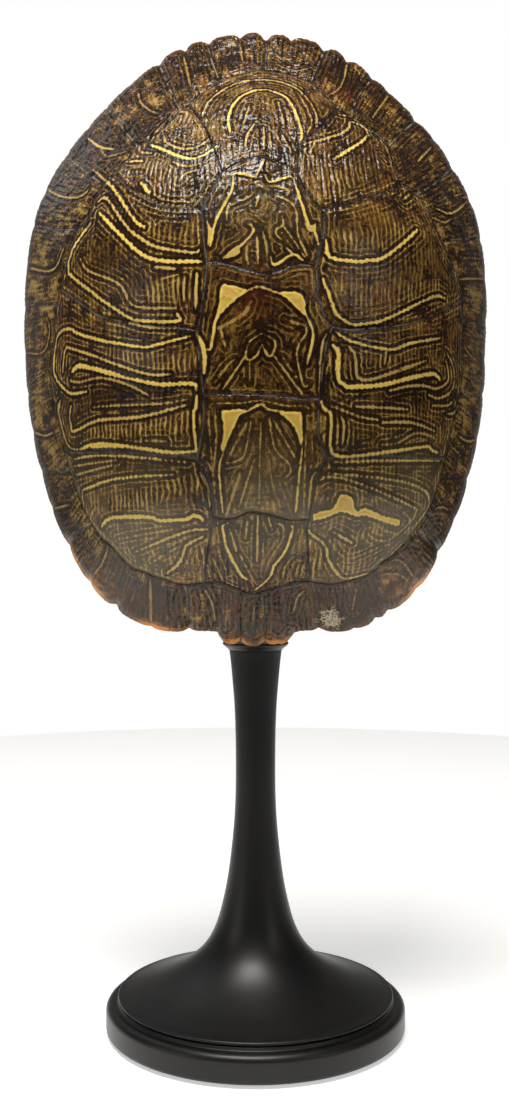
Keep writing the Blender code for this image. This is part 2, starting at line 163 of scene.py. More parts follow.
# Pale lines in the horn: width in mm and tone from 0 to 1, and the places of the lines that have them
PALE_LINES: dict[tuple[float, float], tuple[Places, ...]] = {
    (0.6, 0.5): (
        (-2.5, -22.5, -2.5, -32), (-19, -41, -19.5, -47.5, -16.5, -85.5), (-17, -42, -16.5, -56, -18, -68,
        -17.5, -77.5), (9.5, -71.5, 15.5, -85.5), (-21, -63.5, -18.5, -67.5, -17.5, -77.5), (23.5, -52.5,
        24, -62.5, 23, -66.5), (12, -93, 11.5, -97, 6, -105.5, 4, -111), (21, -52.5, 20.5, -85),
    ),
    (0.6, 0.6): (
        (-19, -41, -17, -40, -5, -40, 2, -39, 12.5, -41, 20.5, -41, 22.5, -42.5), (-2, -47.5, -4, -59,
        -6.5, -63, -12.5, -64.5), (11.5, 34, 20.5, 21),
    ),
    (0.7, 0.5): (
        (-16.5, -99.5, -16, -102.5, -12.5, -111), (-19, -104, -15, -114), (-21.5, -107.5, -20.5, -113),
        (16.5, -104, 13, -108.5, 12, -115.5), (21, -99.5, 21, -104), (19, -107.5, 17.5, -113), (-61.5, -96,
        -33, -91.5), (-45.5, -106, -33.5, -99.5), (55, -90.5, 56, -92, 63.5, -94), (32, -96, 36, -101.5,
        40.5, -104.5, 46, -103.5, 55, -99.5),
    ),
    (0.7, 0.6): (
        (2.5, -11.5, -2.5, -15, -4, -20.5, -2.5, -22.5, 0.5, -20.5, 2, -17), (-7, -102.5, 0, -115.5,
        2.5, -114.5), (-0.5, -126, -1.5, -140),
    ),
    (0.8, 0.5): (
        (-8.5, -22, -11.5, -24.5, -17, -31.5), (11, -21, 17, -29.5), (5.5, -62.5, 7, -73, 10.5, -82.5),
        (-3, 27, -4, 22, -3, 17), (3, 31, 4.5, 25, 4.5, 19), (-13, -115.5, -8, -117.5), (-40, 12.5,
        -32.5, 14), (-47, -54.5, -37.5, -55), (55.5, -16, 54.5, -22), (-26.5, 113.5, -25, 106), (17, 138.5,
        16, 130.5), (42.5, -119, 43, -126.5),
    ),
    (0.8, 0.6): (
        (3, -12, 8, -14.5, 7, -20, 5, -20.5, 2.5, -16), (20.5, -7.5, 21, -11, 17, -18.5, 19.5, -31.5,
        21, -33, 22.5, -31.5), (2, -48, 1.5, -81.5), (-0.5, -63, -7, -82.5), (5.5, -46, 7.5, -57, 10, -61,
        12.5, -63, 14.5, -65.5, 14.5, -68.5, 12.5, -70.5), (-1.5, 50.5, -2, 47, -10.5, 43, -12, 40.5,
        -12, 36.5), (0.5, 29, 1, 17), (6, 48.5, 16, 43, 17.5, 31, 21.5, 21.5), (11, 38, 11.5, 34.5, 8.5, 32,
        9, 29.5, 11, 28), (18.5, 105, 24.5, 88.5, 22.5, 80.5), (11, 79.5, 15, 69.5), (-1.5, -115,
        -0.5, -118), (-71.5, -38.5, -40, -39.5, -28.5, -38), (-82, -63, -60.5, -62), (49.5, -93.5, 52, -96,
        57, -97, 61.5, -95.5, 69, -89, 68.5, -86, 65, -83.5),
    ),
    (0.8, 0.7): (
        (29.5, -11, 27.5, -17, 26.5, -35), (1, -86.5, 0.5, -106), (-54, -4.5, -45.5, -7, -30, -8.5),
        (31.5, -40.5, 43, -44.5, 52.5, -45.5),
    ),
    (0.9, 0.5): (
        (-39, 91.5, -36.5, 95.5, -30.5, 93.5, -32.5, 87.5), (-33, 64, -27, 63), (23.5, 70, 26, 76.5),
        (-71.5, -81.5, -74.5, -85, -75, -88.5), (54, -56, 61.5, -54.5, 68.5, -50.5, 73.5, -49.5, 80.5, -51),
    ),
    (0.9, 0.6): (
        (7.5, -47, 17, -63), (-2.5, 95, -6, 80.5), (10, 97.5, 12.5, 83), (6, 79, 6.5, 70.5), (-35.5, 66.5,
        -29, 63, -20.5, 65, -16, 68.5), (-52, 79.5, -51, 75.5, -45.5, 73.5), (-54, 64.5, -49.5, 63.5),
        (37, 94, 43.5, 94, 52, 87), (69, 57.5, 65, 53), (-77, 28, -73, 21, -58, 12.5, -53, 3.5, -45.5, 1,
        -33.5, 0), (-82.5, -25.5, -77.5, -27, -66.5, -26.5, -53.5, -31, -45.5, -35.5), (-81.5, -67,
        -63, -64), (76, -32.5, 81, -33.5, 87.5, -30, 90, -24, 88.5, -17, 85.5, -12.5), (42, -40.5, 66, -40),
        (60.5, -103.5, 72.5, -93, 78, -85), (-7.5, 138, -6, 124.5), (-34, 132, -29.5, 110), (8.5, 125.5,
        12.5, 121.5, 19, 119.5, 24.5, 121.5), (79, 48, 85, 47, 89.5, 50.5), (95.5, -7, 99.5, -10.5,
        104.5, -12), (99, 0.5, 103, -1, 103.5, -9), (78.5, -37, 86, -36, 89, -34), (86.5, -39.5, 90.5, -38.5,
        93, -34.5), (55, -112.5, 60, -111.5, 66.5, -112.5, 72, -117),
    ),
    (0.9, 0.7): (
        (25.5, -68, 23.5, -72, 22.5, -85), (-23.5, 91, -21, 98.5, -14.5, 106, -6, 110.5, 3.5, 112, 12, 111,
        18.5, 107, 23.5, 100, 26.5, 91.5, 27, 84.5), (-0.5, 83.5, -3.5, 77.5, -4.5, 69.5), (3.5, 82,
        3.5, 69.5), (-46.5, 81, -44.5, 86, -40, 91), (27.5, -71.5, 30.5, -70, 43, -72, 70, -81.5, 72, -84,
        70.5, -87.5, 64.5, -93.5), (-96, -81.5, -85.5, -80),
    ),
    (1, 0.6): (
        (-4, -20.5, -13.5, -34), (7.5, -20.5, 18.5, -35, 20.5, -36.5, 23, -36.5), (-11, -92, -8.5, -101.5),
        (-3.5, -89, -4.5, -96), (-78.5, -74, -78.5, -82), (-17.5, -140, -14, -141.5, -10.5, -141, -8, -139),
        (63.5, 115.5, 53.5, 97), (46, -116, 44.5, -128.5), (6, -140.5, 9.5, -143, 13, -142, 15.5, -138.5),
        (-4, -141, -0.5, -143.5, 3.5, -141.5), (35.5, -44.5, 37, -48.5, 36.5, -56), (-71.5, 83.5, -68, 78,
        -63.5, 77, -57, 78),
    ),
    (1, 0.7): (
        (2, 49, 0, 42), (5.5, -87, 7, -92.5), (-54.5, 55.5, -41.5, 46.5, -33, 44, -26, 43.5, -24.5, 46),
        (51, 84, 48.5, 89.5, 42.5, 91, 41, 86, 34.5, 80.5, 20.5, 74), (-88, -33, -90, -37.5, -85.5, -52,
        -81.5, -55.5, -76.5, -56), (57, -33, 64.5, -30.5, 73, -29, 79.5, -29.5, 84.5, -27, 86.5, -23.5,
        85, -16), (54, -46.5, 68.5, -45.5, 80.5, -48), (-109.5, -6.5, -101, -9.5, -96, -8, -94, 0, -96, 6),
        (-76, -113, -71, -108, -68, -102.5, -67, -98.5), (-23, -118.5, -19.5, -126.5, -18.5, -136),
        (43.5, 130, 39.5, 113, 32, 104.5), (81.5, -82.5, 85, -81, 90, -82), (59.5, -106, 65, -105.5,
        69.5, -109, 73.5, -114), (22, -119.5, 19, -122.5, 17, -130.5),
    ),
    (1, 0.8): (
        (-3.5, 34.5, -1.5, 33.5, -1.5, 30, -9, 23, -13.5, 20.5), (-86.5, -21.5, -85, -11.5, -79.5, -12.5,
        -48.5, -26, -35.5, -27.5), (33, -64, 84, -60.5), (31, -68.5, 62, -70.5, 74.5, -73.5, 78, -76.5,
        78.5, -82, 71, -91.5), (-81.5, -60, -67, -59.5, -29, -64),
    ),
    (1, 0.9): (
        (-3.5, 6, 1.5, 7.5, 8.5, 5.5), (-3.5, -43.5, 2, -40.5, 5, -42.5, 12.5, -43.5), (-13.5, -60,
        -15.5, -67.5, -14, -85),
    ),
    (1.1, 0.7): (
        (-41, 84, -39.5, 78.5, -32.5, 73.5, -25.5, 73, -20, 77), (-42.5, 18, -33.5, 16.5), (-55, 113.5,
        -53, 106, -47.5, 99, -43.5, 96), (82.5, 88.5, 74, 76.5), (93.5, 22.5, 108.5, 28.5), (93.5, -48.5,
        99.5, -50, 104.5, -48.5),
    ),
    (1.1, 0.8): (
        (-23.5, -68, -20.5, -74.5, -19.5, -82.5), (-57.5, 71.5, -49.5, 69.5), (-70, 53, -67, 54.5, -64, 51.5,
        -56, 38.5, -49, 31.5, -41.5, 26.5, -26.5, 23, -23.5, 24), (-54, -102, -30.5, -93, -21, -92),
        (33.5, -10, 40, -13.5, 53, -15.5, 59.5, -15, 66, -12, 82, -7), (23, -92.5, 24.5, -94.5, 29, -97.5,
        31, -100.5, 32.5, -106, 38, -113, 43, -113.5, 53, -111),
    ),
    (1.1, 0.9): (
        (19.5, -58, 17, -85), (-78.5, -74, -62, -70, -35, -69), (28, 12, 33, -1, 35, -3.5, 39, -6, 44.5, -6,
        57, -2, 78, 10.5, 84, 11),
    ),
    (1.2, 0.3): (
        (12, -5.5, 20, -8),
    ),
    (1.2, 0.8): (
        (13, 24.5, 15.5, 22), (-24.5, 14, -25, -1), (-82.5, -36.5, -83.5, -40.5, -83, -44.5, -81, -48,
        -69.5, -44.5, -49, -44.5, -29, -40.5), (-40, -111.5, -35.5, -108.5, -32.5, -104.5, -31, -100,
        -28, -97.5, -22.5, -95), (33.5, -93, 42.5, -98), (-106.5, -44.5, -98.5, -47.5, -93.5, -47),
        (81.5, 53, 90, 53.5, 100.5, 64.5), (0, 55, 3.5, 64), (-100.5, 72.5, -91, 63.5, -82.5, 59, -77, 59,
        -74.5, 61.5), (-110, 35, -97, 27.5, -90, 27, -86, 34.5),
    ),
    (1.2, 0.9): (
        (-15.5, -4, -17, -7, -18.5, -17, -20.5, -17.5), (21, -4, 24, -11.5, 21.5, -23.5), (-12, -89.5,
        -14, -90.5, -14, -93, -12, -101.5, -6, -112, -2, -114.5), (15, -90.5, 16, -92, 13, -101.5, 8, -108,
        6, -113, -0.5, -119), (-27.5, -12, -43, -15, -49.5, -15, -66.5, -10.5, -78.5, -5.5, -82, -3,
        -86, -2.5, -89, -4, -90.5, -8, -91.5, -20.5, -85, -29.5, -80.5, -31.5, -74, -31.5),
    ),
    (1.3, 0.5): (
        (-6.5, -68.5, -13, -87), (6, 51.5, 10.5, 51.5, 14, 49.5, 13, 47.5), (55.5, 74, 58, 71), (-3.5, -48,
        -12.5, -64), (-14.5, -10, -12.5, -17),
    ),
    (1.3, 0.6): (
        (9, -89.5, 11.5, -90.5, 12, -92.5), (-32.5, 56, -30, 59.5, -24.5, 60.5), (38.5, -15.5, 41.5, -19,
        42.5, -26.5, 44.5, -29, 51.5, -28, 74.5, -18), (-29.5, 12.5, -30, 2.5), (-47.5, -114, -48.5, -135.5),
    ),
    (1.3, 0.9): (
        (-9.5, 56, -10, 50, -16.5, 36.5, -19, 25.5), (16, 55.5, 22, 34.5, 24.5, 32.5, 26.5, 26), (-11, 79.5,
        -12, 87, -10, 95.5, -4.5, 102, 3.5, 105, 11.5, 102.5, 15.5, 97, 20, 81, 19, 74.5), (49.5, 84.5,
        47, 80, 34, 68), (-72.5, 43.5, -80, 34.5, -82.5, 29, -83, 24.5, -80, 19, -56, -1, -45.5, -4.5,
        -32.5, -5.5, -32.5, -2.5), (-24.5, -37, -25, -42, -26, -44.5, -25, -58, -26.5, -59.5), (6, 21,
        7, 17.5, 9.5, 18, 15.5, 22, 19.5, 19.5), (27.5, -38.5, 28.5, -42, 31.5, -44.5, 31.5, -57.5,
        35.5, -61.5, 49.5, -60, 73, -55.5, 77.5, -55, 79.5, -56.5, 82.5, -57), (-74, 72, -62.5, 58,
        -52.5, 41, -47, 36), (-10.5, 57, -6.5, 57.5, 0, 55), (4, 56.5, 6, 53.5, 14, 56.5, 16, 55.5),
    ),
    (1.5, 1): (
        (-47, 79, -31, 68, -23, 67.5, -16.5, 72.5), (-54, -28, -40, -31.5, -26.5, -31.5, -24.5, -34.5),
        (-78, -56, -67.5, -54.5, -37.5, -59.5, -26.5, -59.5), (29.5, 28.5, 31, 21.5, 42.5, 20.5, 47.5, 21.5,
        54.5, 23.5, 65, 33, 70.5, 39), (-79, 93, -73, 86, -68, 82.5, -64, 81), (-49.5, 58, -45.5, 52),
        (-69, 47.5, -60, 36.5, -48, 24, -37.5, 20, -22.5, 19),
    ),
    (1.7, 0.4): (
        (-2, 1.5, -5, -3.5, -15, -9),
    ),
    (1.8, 0.8): (
        (-88.5, -34, -90, -38),
    ),
    (1.8, 1): (
        (-69.5, -90.5, -67, -88, -62, -86.5, -46, -86.5, -41.5, -88, -30, -87.5, -26.5, -86, -23.5, -87,
        -22.5, -88.5), (32, -15.5, 34, -17, 34.5, -20.5, 34.5, -29, 37, -31.5, 40, -32.5, 54.5, -30.5,
        74.5, -24, 79.5, -23.5, 82, -25.5),
    ),
    (1.9, 0.9): (
        (31.5, 1, 34, -3),
    ),
    (2, 1): (
        (-81.5, -22, -79.5, -20.5, -75, -20.5, -54, -28), (-72.5, -55.5, -62.5, -55.5, -56.5, -56.5),
    ),
    (2.1, 0.9): (
        (-24.5, -11, -21.5, -18, -21.5, -27.5),
    ),
}
# Pale shapes filled to their edge
PALE_SHAPES: tuple[Shape, ...] = (
    Shape(0.95, (-13.5, 9.5, -10, 8.5, -3.5, 6, -8, 3, -15.5, -4, -16, -3, -15, 1.5, -14.5, 7.5)),
    Shape(0.95, (8.5, 5.5, 15, 6, 18, 5.5, 20, 3.5, 20.5, -1, 21, -4, 16.5, -0.5, 12.5, 3.5)),
    Shape(1, (-14, -43, -6.5, -42.5, -3.5, -43.5, -6, -44.5, -8, -47.5, -12, -56, -13.5, -60, -14.5, -58,
        -13.5, -54, -13.5, -48, -14, -46)),
    Shape(1, (10.5, -43.5, 17, -43.5, 19, -45, 19.5, -58, 16, -49.5, 10, -44)),
    Shape(0.8, (-21, 38.5, -19.5, 35, -18, 33, -16.5, 36.5, -19.5, 26, -20, 28, -20, 33)),
    Shape(0.8, (20.5, 36, 23, 34.5, 25, 35.5, 25, 32.5, 23, 32, 21.5, 33)),
    Shape(0.75, (-11.5, 22.5, -8, 25, -6.5, 24, -7.5, 21.5, -13.5, 20)),
    Shape(1, (25, -87.5, 25, -85.5, 29, -84, 33.5, -83, 36, -77.5, 40, -78, 42, -79.5, 42.5, -83, 44.5, -84.5,
        47.5, -83, 55.5, -86, 60.5, -87, 63.5, -87.5, 64.5, -89, 62, -90, 48, -86, 44.5, -86.5, 38, -84.5,
        33.5, -85.5, 30, -87, 25, -88)),
)
# Bands where fine cross lines stand close together: width in mm, strength and places
BANDS: tuple[Stroke, ...] = (
    Stroke(10.4, 0.8, (-46.1, 65.5, -34, 57.1)),
    Stroke(11.2, 0.9, (31.6, 51.8, 41.7, 62.5, 49.5, 70.6)),
    Stroke(6.8, 0.7, (-59.7, 45.6, -44.8, 34.6, -26.6, 29.5)),
    Stroke(15.9, 0.9, (-40.1, 7.2, -26.5, 6.4)),
    Stroke(3.8, 1, (-68.3, 7.2, -60.3, 1.3, -48.9, -2.5, -30.7, -4.7)),
    Stroke(11.1, 0.8, (34.6, 29.1, 48.6, 30.6, 62.5, 36.6)),
    Stroke(8.6, 0.5, (37.5, 15.5, 62.1, 20.2, 74.4, 28.5)),
    Stroke(8.6, 0.7, (44, 4.2, 66.8, 10.5, 79.8, 14.8)),
    Stroke(9.3, 0.85, (-61.7, -17.3, -44.6, -21.8, -28.2, -22.7)),
    Stroke(11.1, 1, (-70.5, -47.5, -53.8, -48, -27.5, -47.5)),
    Stroke(7.7, 0.6, (37.5, -18.1, 57.5, -19, 79.4, -12.6)),
    Stroke(14.7, 0.5, (37.7, -44.2, 57.8, -44.4, 80.4, -37.8)),
    Stroke(9.5, 1, (-62.7, -81.2, -50.1, -78.5, -38.4, -75.8, -26.2, -72.2)),
    Stroke(5.3, 0.9, (44, -73.6, 56.5, -75.8, 70.1, -80.5)),
    Stroke(14, 1, (-20, -104, -14, -111, -7, -117)),
    Stroke(14, 1, (26, -106, 15, -111, 7, -117)),
)
# Notches in the rim: angle in degrees, 0 at the right and 90 at the tail; depth and half width in mm
RIM_NOTCHES: tuple[tuple[float, float, float], ...] = (
    (88.0, 2.2, 2.6), (93.0, 1.4, 2.2), (83.1, 1.4, 2.2), (99.1, 1.6, 2.6), (76.6, 1.8, 2.6),
    (103.8, 1.6, 2.4), (71.7, 1.5, 2.4), (109.4, 1, 2.6), (65.8, 0.7, 2.6), (116.0, 0.4, 2.6),
    (61.6, 0.5, 2.4), (122.6, 0.4, 2.6), (53.8, 0.7, 2.6), (128.4, 0.3, 2.6), (48.2, 0.4, 2.4),
    (135.6, 0.4, 2.8), (41.2, 0.6, 2.8), (145.1, 0.3, 2.6), (33.2, 0.4, 2.6), (152.7, 0.3, 2.8),
    (24.3, 0.4, 2.8), (162.3, 0.1, 2.6), (15.3, 0.2, 2.6), (171.9, 0.2, 2.8), (5.2, 0.3, 2.8),
    (-177.4, 0.2, 2.6), (-4.4, 0.2, 2.6), (-167.1, 0.5, 2.8), (-13.0, 0.5, 2.8),
    (-157.7, 0.3, 2.6), (-23.6, 0.3, 2.6), (-148.5, 0.5, 2.8), (-33.3, 0.5, 2.8),
    (-140.3, 0.4, 2.6), (-42.2, 0.4, 2.6), (-131.8, 0.8, 2.8), (-49.6, 1, 2.8),
    (-123.9, 0.8, 2.6), (-57.7, 0.8, 2.6), (-117.3, 1.8, 2.6), (-64.4, 1.4, 2.8),
    (-109.6, 0.7, 2.4), (-67.1, 1.4, 2.4), (-71.5, 0.8, 2.4), (-102.6, 1.2, 2.2),
    (-92.8, 1.6, 1.8), (-88.4, 1.6, 1.8), (-78.0, 1.4, 2.4), (-97.3, 0.6, 1.8),
)
# Local colours: centre (x, z), half width and half height in mm, strength
STAINS: dict[Stain, tuple[tuple[float, ...], ...]] = {
    Stain.RED: (
        (-9, -128, 5, 6, 0.8), (-58.1, -124.2, 11.1, 6.5, 0.6), (-32.3, -128.6, 9.2, 5.5, 0.5),
        (33.6, -119.2, 10.9, 7.2, 0.5), (59.6, -119.5, 10.1, 6.4, 0.6), (-10.7, -123.8, 4.5, 6.3, 0.6),
        (11.1, -123.8, 4.5, 6.3, 0.5), (-71.6, -105.7, 6.4, 5.5, 0.5), (-88.1, -2.1, 4.5, 10.8, 0.4),
        (99.5, 1, 4.6, 11.1, 0.4), (19.6, 93.6, 6.2, 7.1, 0.5), (41, 107.6, 9.2, 4.6, 0.5),
        (0.2, 2.2, 8.3, 8.3, 0.35), (8, -133, 4, 6, 0.6), (26, -131, 5, 4, 0.7), (34, -122, 4, 4, 0.6),
        (70, -104, 8, 5, 0.6), (-46, -128, 7, 7, 0.5), (-78, -108, 8, 8, 0.5), (0.2, -114, 6, 5, 0.7),
    ),
    Stain.AMBER: (
        (-86, -106, 5, 8, 0.7), (-76, -119, 7, 7, 0.9), (-49, -138, 10, 4, 0.9), (77, -119, 9, 9, 0.9),
        (62, -112, 5, 5, 0.5), (-9, -143, 6, 4, 0.6), (9, -143, 7, 4, 0.6), (-34, -116, 3, 2.5, 0.9),
        (23, 32, 2.6, 2.4, 0.8),
    ),
    Stain.DARK: (
        (-88, -98, 6, 12, 0.9), (-70, -122, 8, 6, 0.9), (88, -100, 6, 14, 0.9), (74, -115, 6, 6, 0.9),
        (58, 116, 14, 7, 0.6), (80, 95, 8, 12, 0.6), (-82, 90, 7, 9, 0.6), (-97, 66, 5, 8, 0.6),
        (-9, -108, 5, 6, 0.35), (13, -108, 5, 6, 0.35), (45, 72, 14, 14, 0.6), (2, 5, 16, 12, 0.4),
        (-63.7, 23.1, 10.4, 5.6, 0.55), (-51.2, 11.7, 6.8, 4.2, 0.5), (-54.5, -34.1, 25.6, 3.4, 0.75),
        (-58.2, -38.4, 21.5, 2.6, 0.5), (-45.1, -65.2, 13.7, 3, 0.6), (-72.3, -7.7, 8.7, 2.6, 0.4),
        (52, 21.3, 12.8, 2.6, 0.5), (64.6, -32.8, 15.6, 5.2, 0.6), (63, -59.7, 26.2, 3.9, 0.6),
        (56.9, -84.4, 19.8, 2.6, 0.6), (47.5, -8.1, 21.1, 3, 0.5), (0.2, -18.4, 10.8, 7.4, 0.7),
        (-9.8, -4.9, 4.1, 4.1, 0.5), (10.1, -6.6, 5, 3.3, 0.5), (0.2, -116, 6, 5, 0.9),
        (-48.4, -124, 15.6, 7.3, 0.7), (47.9, -124, 15.6, 7.3, 0.7), (-69.6, -112.7, 9.2, 7.4, 0.7),
        (70.5, -112.7, 9.3, 7.4, 0.7), (0.2, -129.3, 18.2, 5.5, 0.35), (68.6, 110.4, 7.6, 6.7, 0.25),
        (86.3, 76.6, 7.5, 7.5, 0.25), (98.7, 33.6, 6.5, 13.9, 0.25), (105.1, -1.9, 4.7, 18.9, 0.3),
        (104.4, -44, 5.7, 23.8, 0.3), (93.8, -77.6, 6.6, 14.1, 0.25),
    ),
    Stain.BONE: (
        (34.5, -133, 6.5, 5.5, 0.9),
    ),
    Stain.GLOSS: (
        (-37, 84.8, 8, 7.1, 0.4), (-15.1, 102.8, 6.3, 7.2, 1), (-2.5, 95.9, 6.2, 3.5, 0.6),
        (82.5, 58, 6.4, 8.2, 0.9), (-3.6, 44.3, 6.7, 6.7, 0.8), (-40.4, 31.9, 7.6, 7.6, 0.6),
        (2.7, 58.1, 7.6, 9.3, 0.6), (31.4, 44.7, 5.9, 11, 0.7), (44.3, 35.5, 8.5, 3.4, 0.5),
        (-21.1, 21.8, 6.7, 4.2, 0.6), (-62.4, 92.1, 6.4, 9.2, 0.5), (34.5, 119, 13.9, 6.5, 0.6),
        (-23.2, 117.1, 13.8, 5.5, 0.8), (-44.5, -10.5, 21.1, 2.5, 0.6), (-0.3, -112.2, 16, 6.2, 0.6),
        (-69.9, 20.7, 6.1, 5.2, 0.4),
    ),
}
# Which seams run round each scute, in order
SCUTE_BORDERS: dict[str, tuple[str, ...]] = {
    "fifth_vertebral": ("tail_seam", "r_v5", "v5_v4", "l_v5"),
    "fourth_vertebral": ("v5_v4", "r_v4a", "r_v4b", "v4_v3", "l_v4b", "l_v4a"),
    "third_vertebral": ("v4_v3", "r_v3a", "r_v3b", "v3_v2", "l_v3b", "l_v3a"),
    "second_vertebral": ("v3_v2", "r_v2a", "r_v2b", "v2_v1", "l_v2b", "l_v2a"),
    "first_vertebral": ("v2_v1", "r_v1", "v1_front", "l_v1"),
    "fourth_pleural_left": ("l_v5", "l_v4a", "l_p4_p3", "l_m_a"),
    "third_pleural_left": ("l_p4_p3", "l_v4b", "l_v3a", "l_p3_p2", "l_m_b"),
    "second_pleural_left": ("l_p3_p2", "l_v3b", "l_v2a", "l_p2_p1", "l_m_c"),
    "first_pleural_left": ("l_p2_p1", "l_v2b", "l_v1", "l_m_d"),
    "fourth_pleural_right": ("r_v5", "r_v4a", "r_p4_p3", "r_m_a"),
    "third_pleural_right": ("r_p4_p3", "r_v4b", "r_v3a", "r_p3_p2", "r_m_b"),
    "second_pleural_right": ("r_p3_p2", "r_v3b", "r_v2a", "r_p2_p1", "r_m_c"),
    "first_pleural_right": ("r_p2_p1", "r_v2b", "r_v1", "r_m_d"),
}
RIM_SCUTES = (
    "tail_marginals_left", "tail_marginals_right", "neck_marginals_left", "neck_marginals_right", "nuchal"
)
# Which of the seams between marginal scutes parts the tail side's piece from the neck side's
RIM_PARTING = (6, 5)


def srgb(code: str) -> Colour:
    """Linear colour of a colour code.

    Args:
        code: #rrggbb code, as a colour card gives it.

    Returns:
        Red, green, blue and a full alpha.
    """
    parts = [int(code[k : k + 2], 16) / 255 for k in (1, 3, 5)]
    red, green, blue = (p / 12.92 if p <= 0.04045 else ((p + 0.055) / 1.055) ** 2.4 for p in parts)
    return red, green, blue, 1.0


def smooth_curve(points: Sequence[tuple[float, float]], at: Array) -> Array:
    """Values of a smooth curve.

    Args:
        points: (place, value) pairs that the curve goes through, in order of place.
        at: Places to read the curve at.

    Returns:
        One value for each place; past either end the end value holds.
    """
    place = np.array([p for p, _ in points], float)
    value = np.array([v for _, v in points], float)
    low = np.maximum(np.arange(len(place)) - 1, 0)
    high = np.minimum(np.arange(len(place)) + 1, len(place) - 1)
    slope = (value[high] - value[low]) / (place[high] - place[low])
    at = np.clip(at, place[0], place[-1])
    i = np.clip(np.searchsorted(place, at, side="left") - 1, 0, len(place) - 2)
    span = place[i + 1] - place[i]
    t = (at - place[i]) / span
    return (
        (2 * t**3 - 3 * t**2 + 1) * value[i]
        + (t**3 - 2 * t**2 + t) * span * slope[i]
        + (3 * t**2 - 2 * t**3) * value[i + 1]
        + (t**3 - t**2) * span * slope[i + 1]
    )


def rounded_line(places: Places | Pairs, per_span: int = 3) -> Array:
    """Points along a rounded line.

    Args:
        places: Corners that the line goes through, as pairs or as one row of numbers.
        per_span: Points put into each span.

    Returns:
        Array of (x, z) rows, the given corners among them.
    """
    p = np.reshape(places, (-1, 2)).astype(float)
    if len(p) < 3:
        return p[0] + np.linspace(0, 1, 3 * per_span)[:, None] * (p[1] - p[0])
    padded = np.vstack([2 * p[0] - p[1], p, 2 * p[-1] - p[-2]])
    t = np.arange(per_span)[:, None] / per_span
    rows = []
    for k in range(len(p) - 1):
        a, b, c, d = padded[k : k + 4]
        rows.append(
            0.5 * (2 * b + (c - a) * t + (2 * a - 5 * b + 4 * c - d) * t**2 + (3 * b - a - 3 * c + d) * t**3)
        )
    rows.append(p[-1:])
    return np.vstack(rows)


def ease(value: Array, low: float, high: float) -> Array:
    """0 at low to 1 at high, eased at both ends."""
    t = np.clip((value - low) / (high - low), 0.0, 1.0)
    return t * t * (3 - 2 * t)


def ripple(u: Array, v: Array, wavelength: float, seed: int) -> Array:
    """Gentle uneven waves.

    Args:
        u: First coordinate in mm.
        v: Second coordinate in mm.
        wavelength: Usual distance between crests in mm.
        seed: Fixes the directions and phases.

    Returns:
        Heights, mostly from -1 to 1.
    """
    dice = np.random.default_rng(seed)
    total = np.zeros_like(u)
    waves = 9
    for turn, phase, stretch in zip(
        dice.uniform(0, math.pi, waves), dice.uniform(0, 2 * math.pi, waves), dice.uniform(0.7, 1.5, waves)
    ):
        k = 2 * math.pi / (wavelength * stretch)
        total += np.sin(k * (u * math.cos(turn) + v * math.sin(turn)) + phase)
    return total / math.sqrt(waves)


def inside(x: Array, z: Array, corners: Array) -> Array:
    """Which places lie inside a closed outline.

    Args:
        x: Places across.
        z: Places up.
        corners: (x, z) rows of the outline.

    Returns:
        One truth value for each place.
    """
    found = np.zeros(x.shape, bool)
    for (x0, z0), (x1, z1) in zip(corners, np.roll(corners, -1, axis=0)):
        if z0 == z1:
            continue
        crosses = (z0 > z) != (z1 > z)
        found ^= crosses & (x < (x1 - x0) * (z - z0) / (z1 - z0) + x0)
    return found


def line_distance(points: Array, line: Array, half: Array) -> Array:
    """Distance to the edge of a line that has a width.

    Args:
        points: Rows of points.
        line: Rows of the line's points.
        half: Half width at each of the line's points.

    Returns:
        One distance for each point, below zero inside the line.
    """
    best = np.full(len(points), np.inf)
    for a, b, start, end in zip(line, line[1:], half, half[1:]):
        along = b - a
        t = np.clip((points - a) @ along / max(along @ along, 1e-9), 0, 1)
        gap = np.linalg.norm(points - a - t[:, None] * along, axis=1)
        np.minimum(best, gap - start - t * (end - start), out=best)
    return best


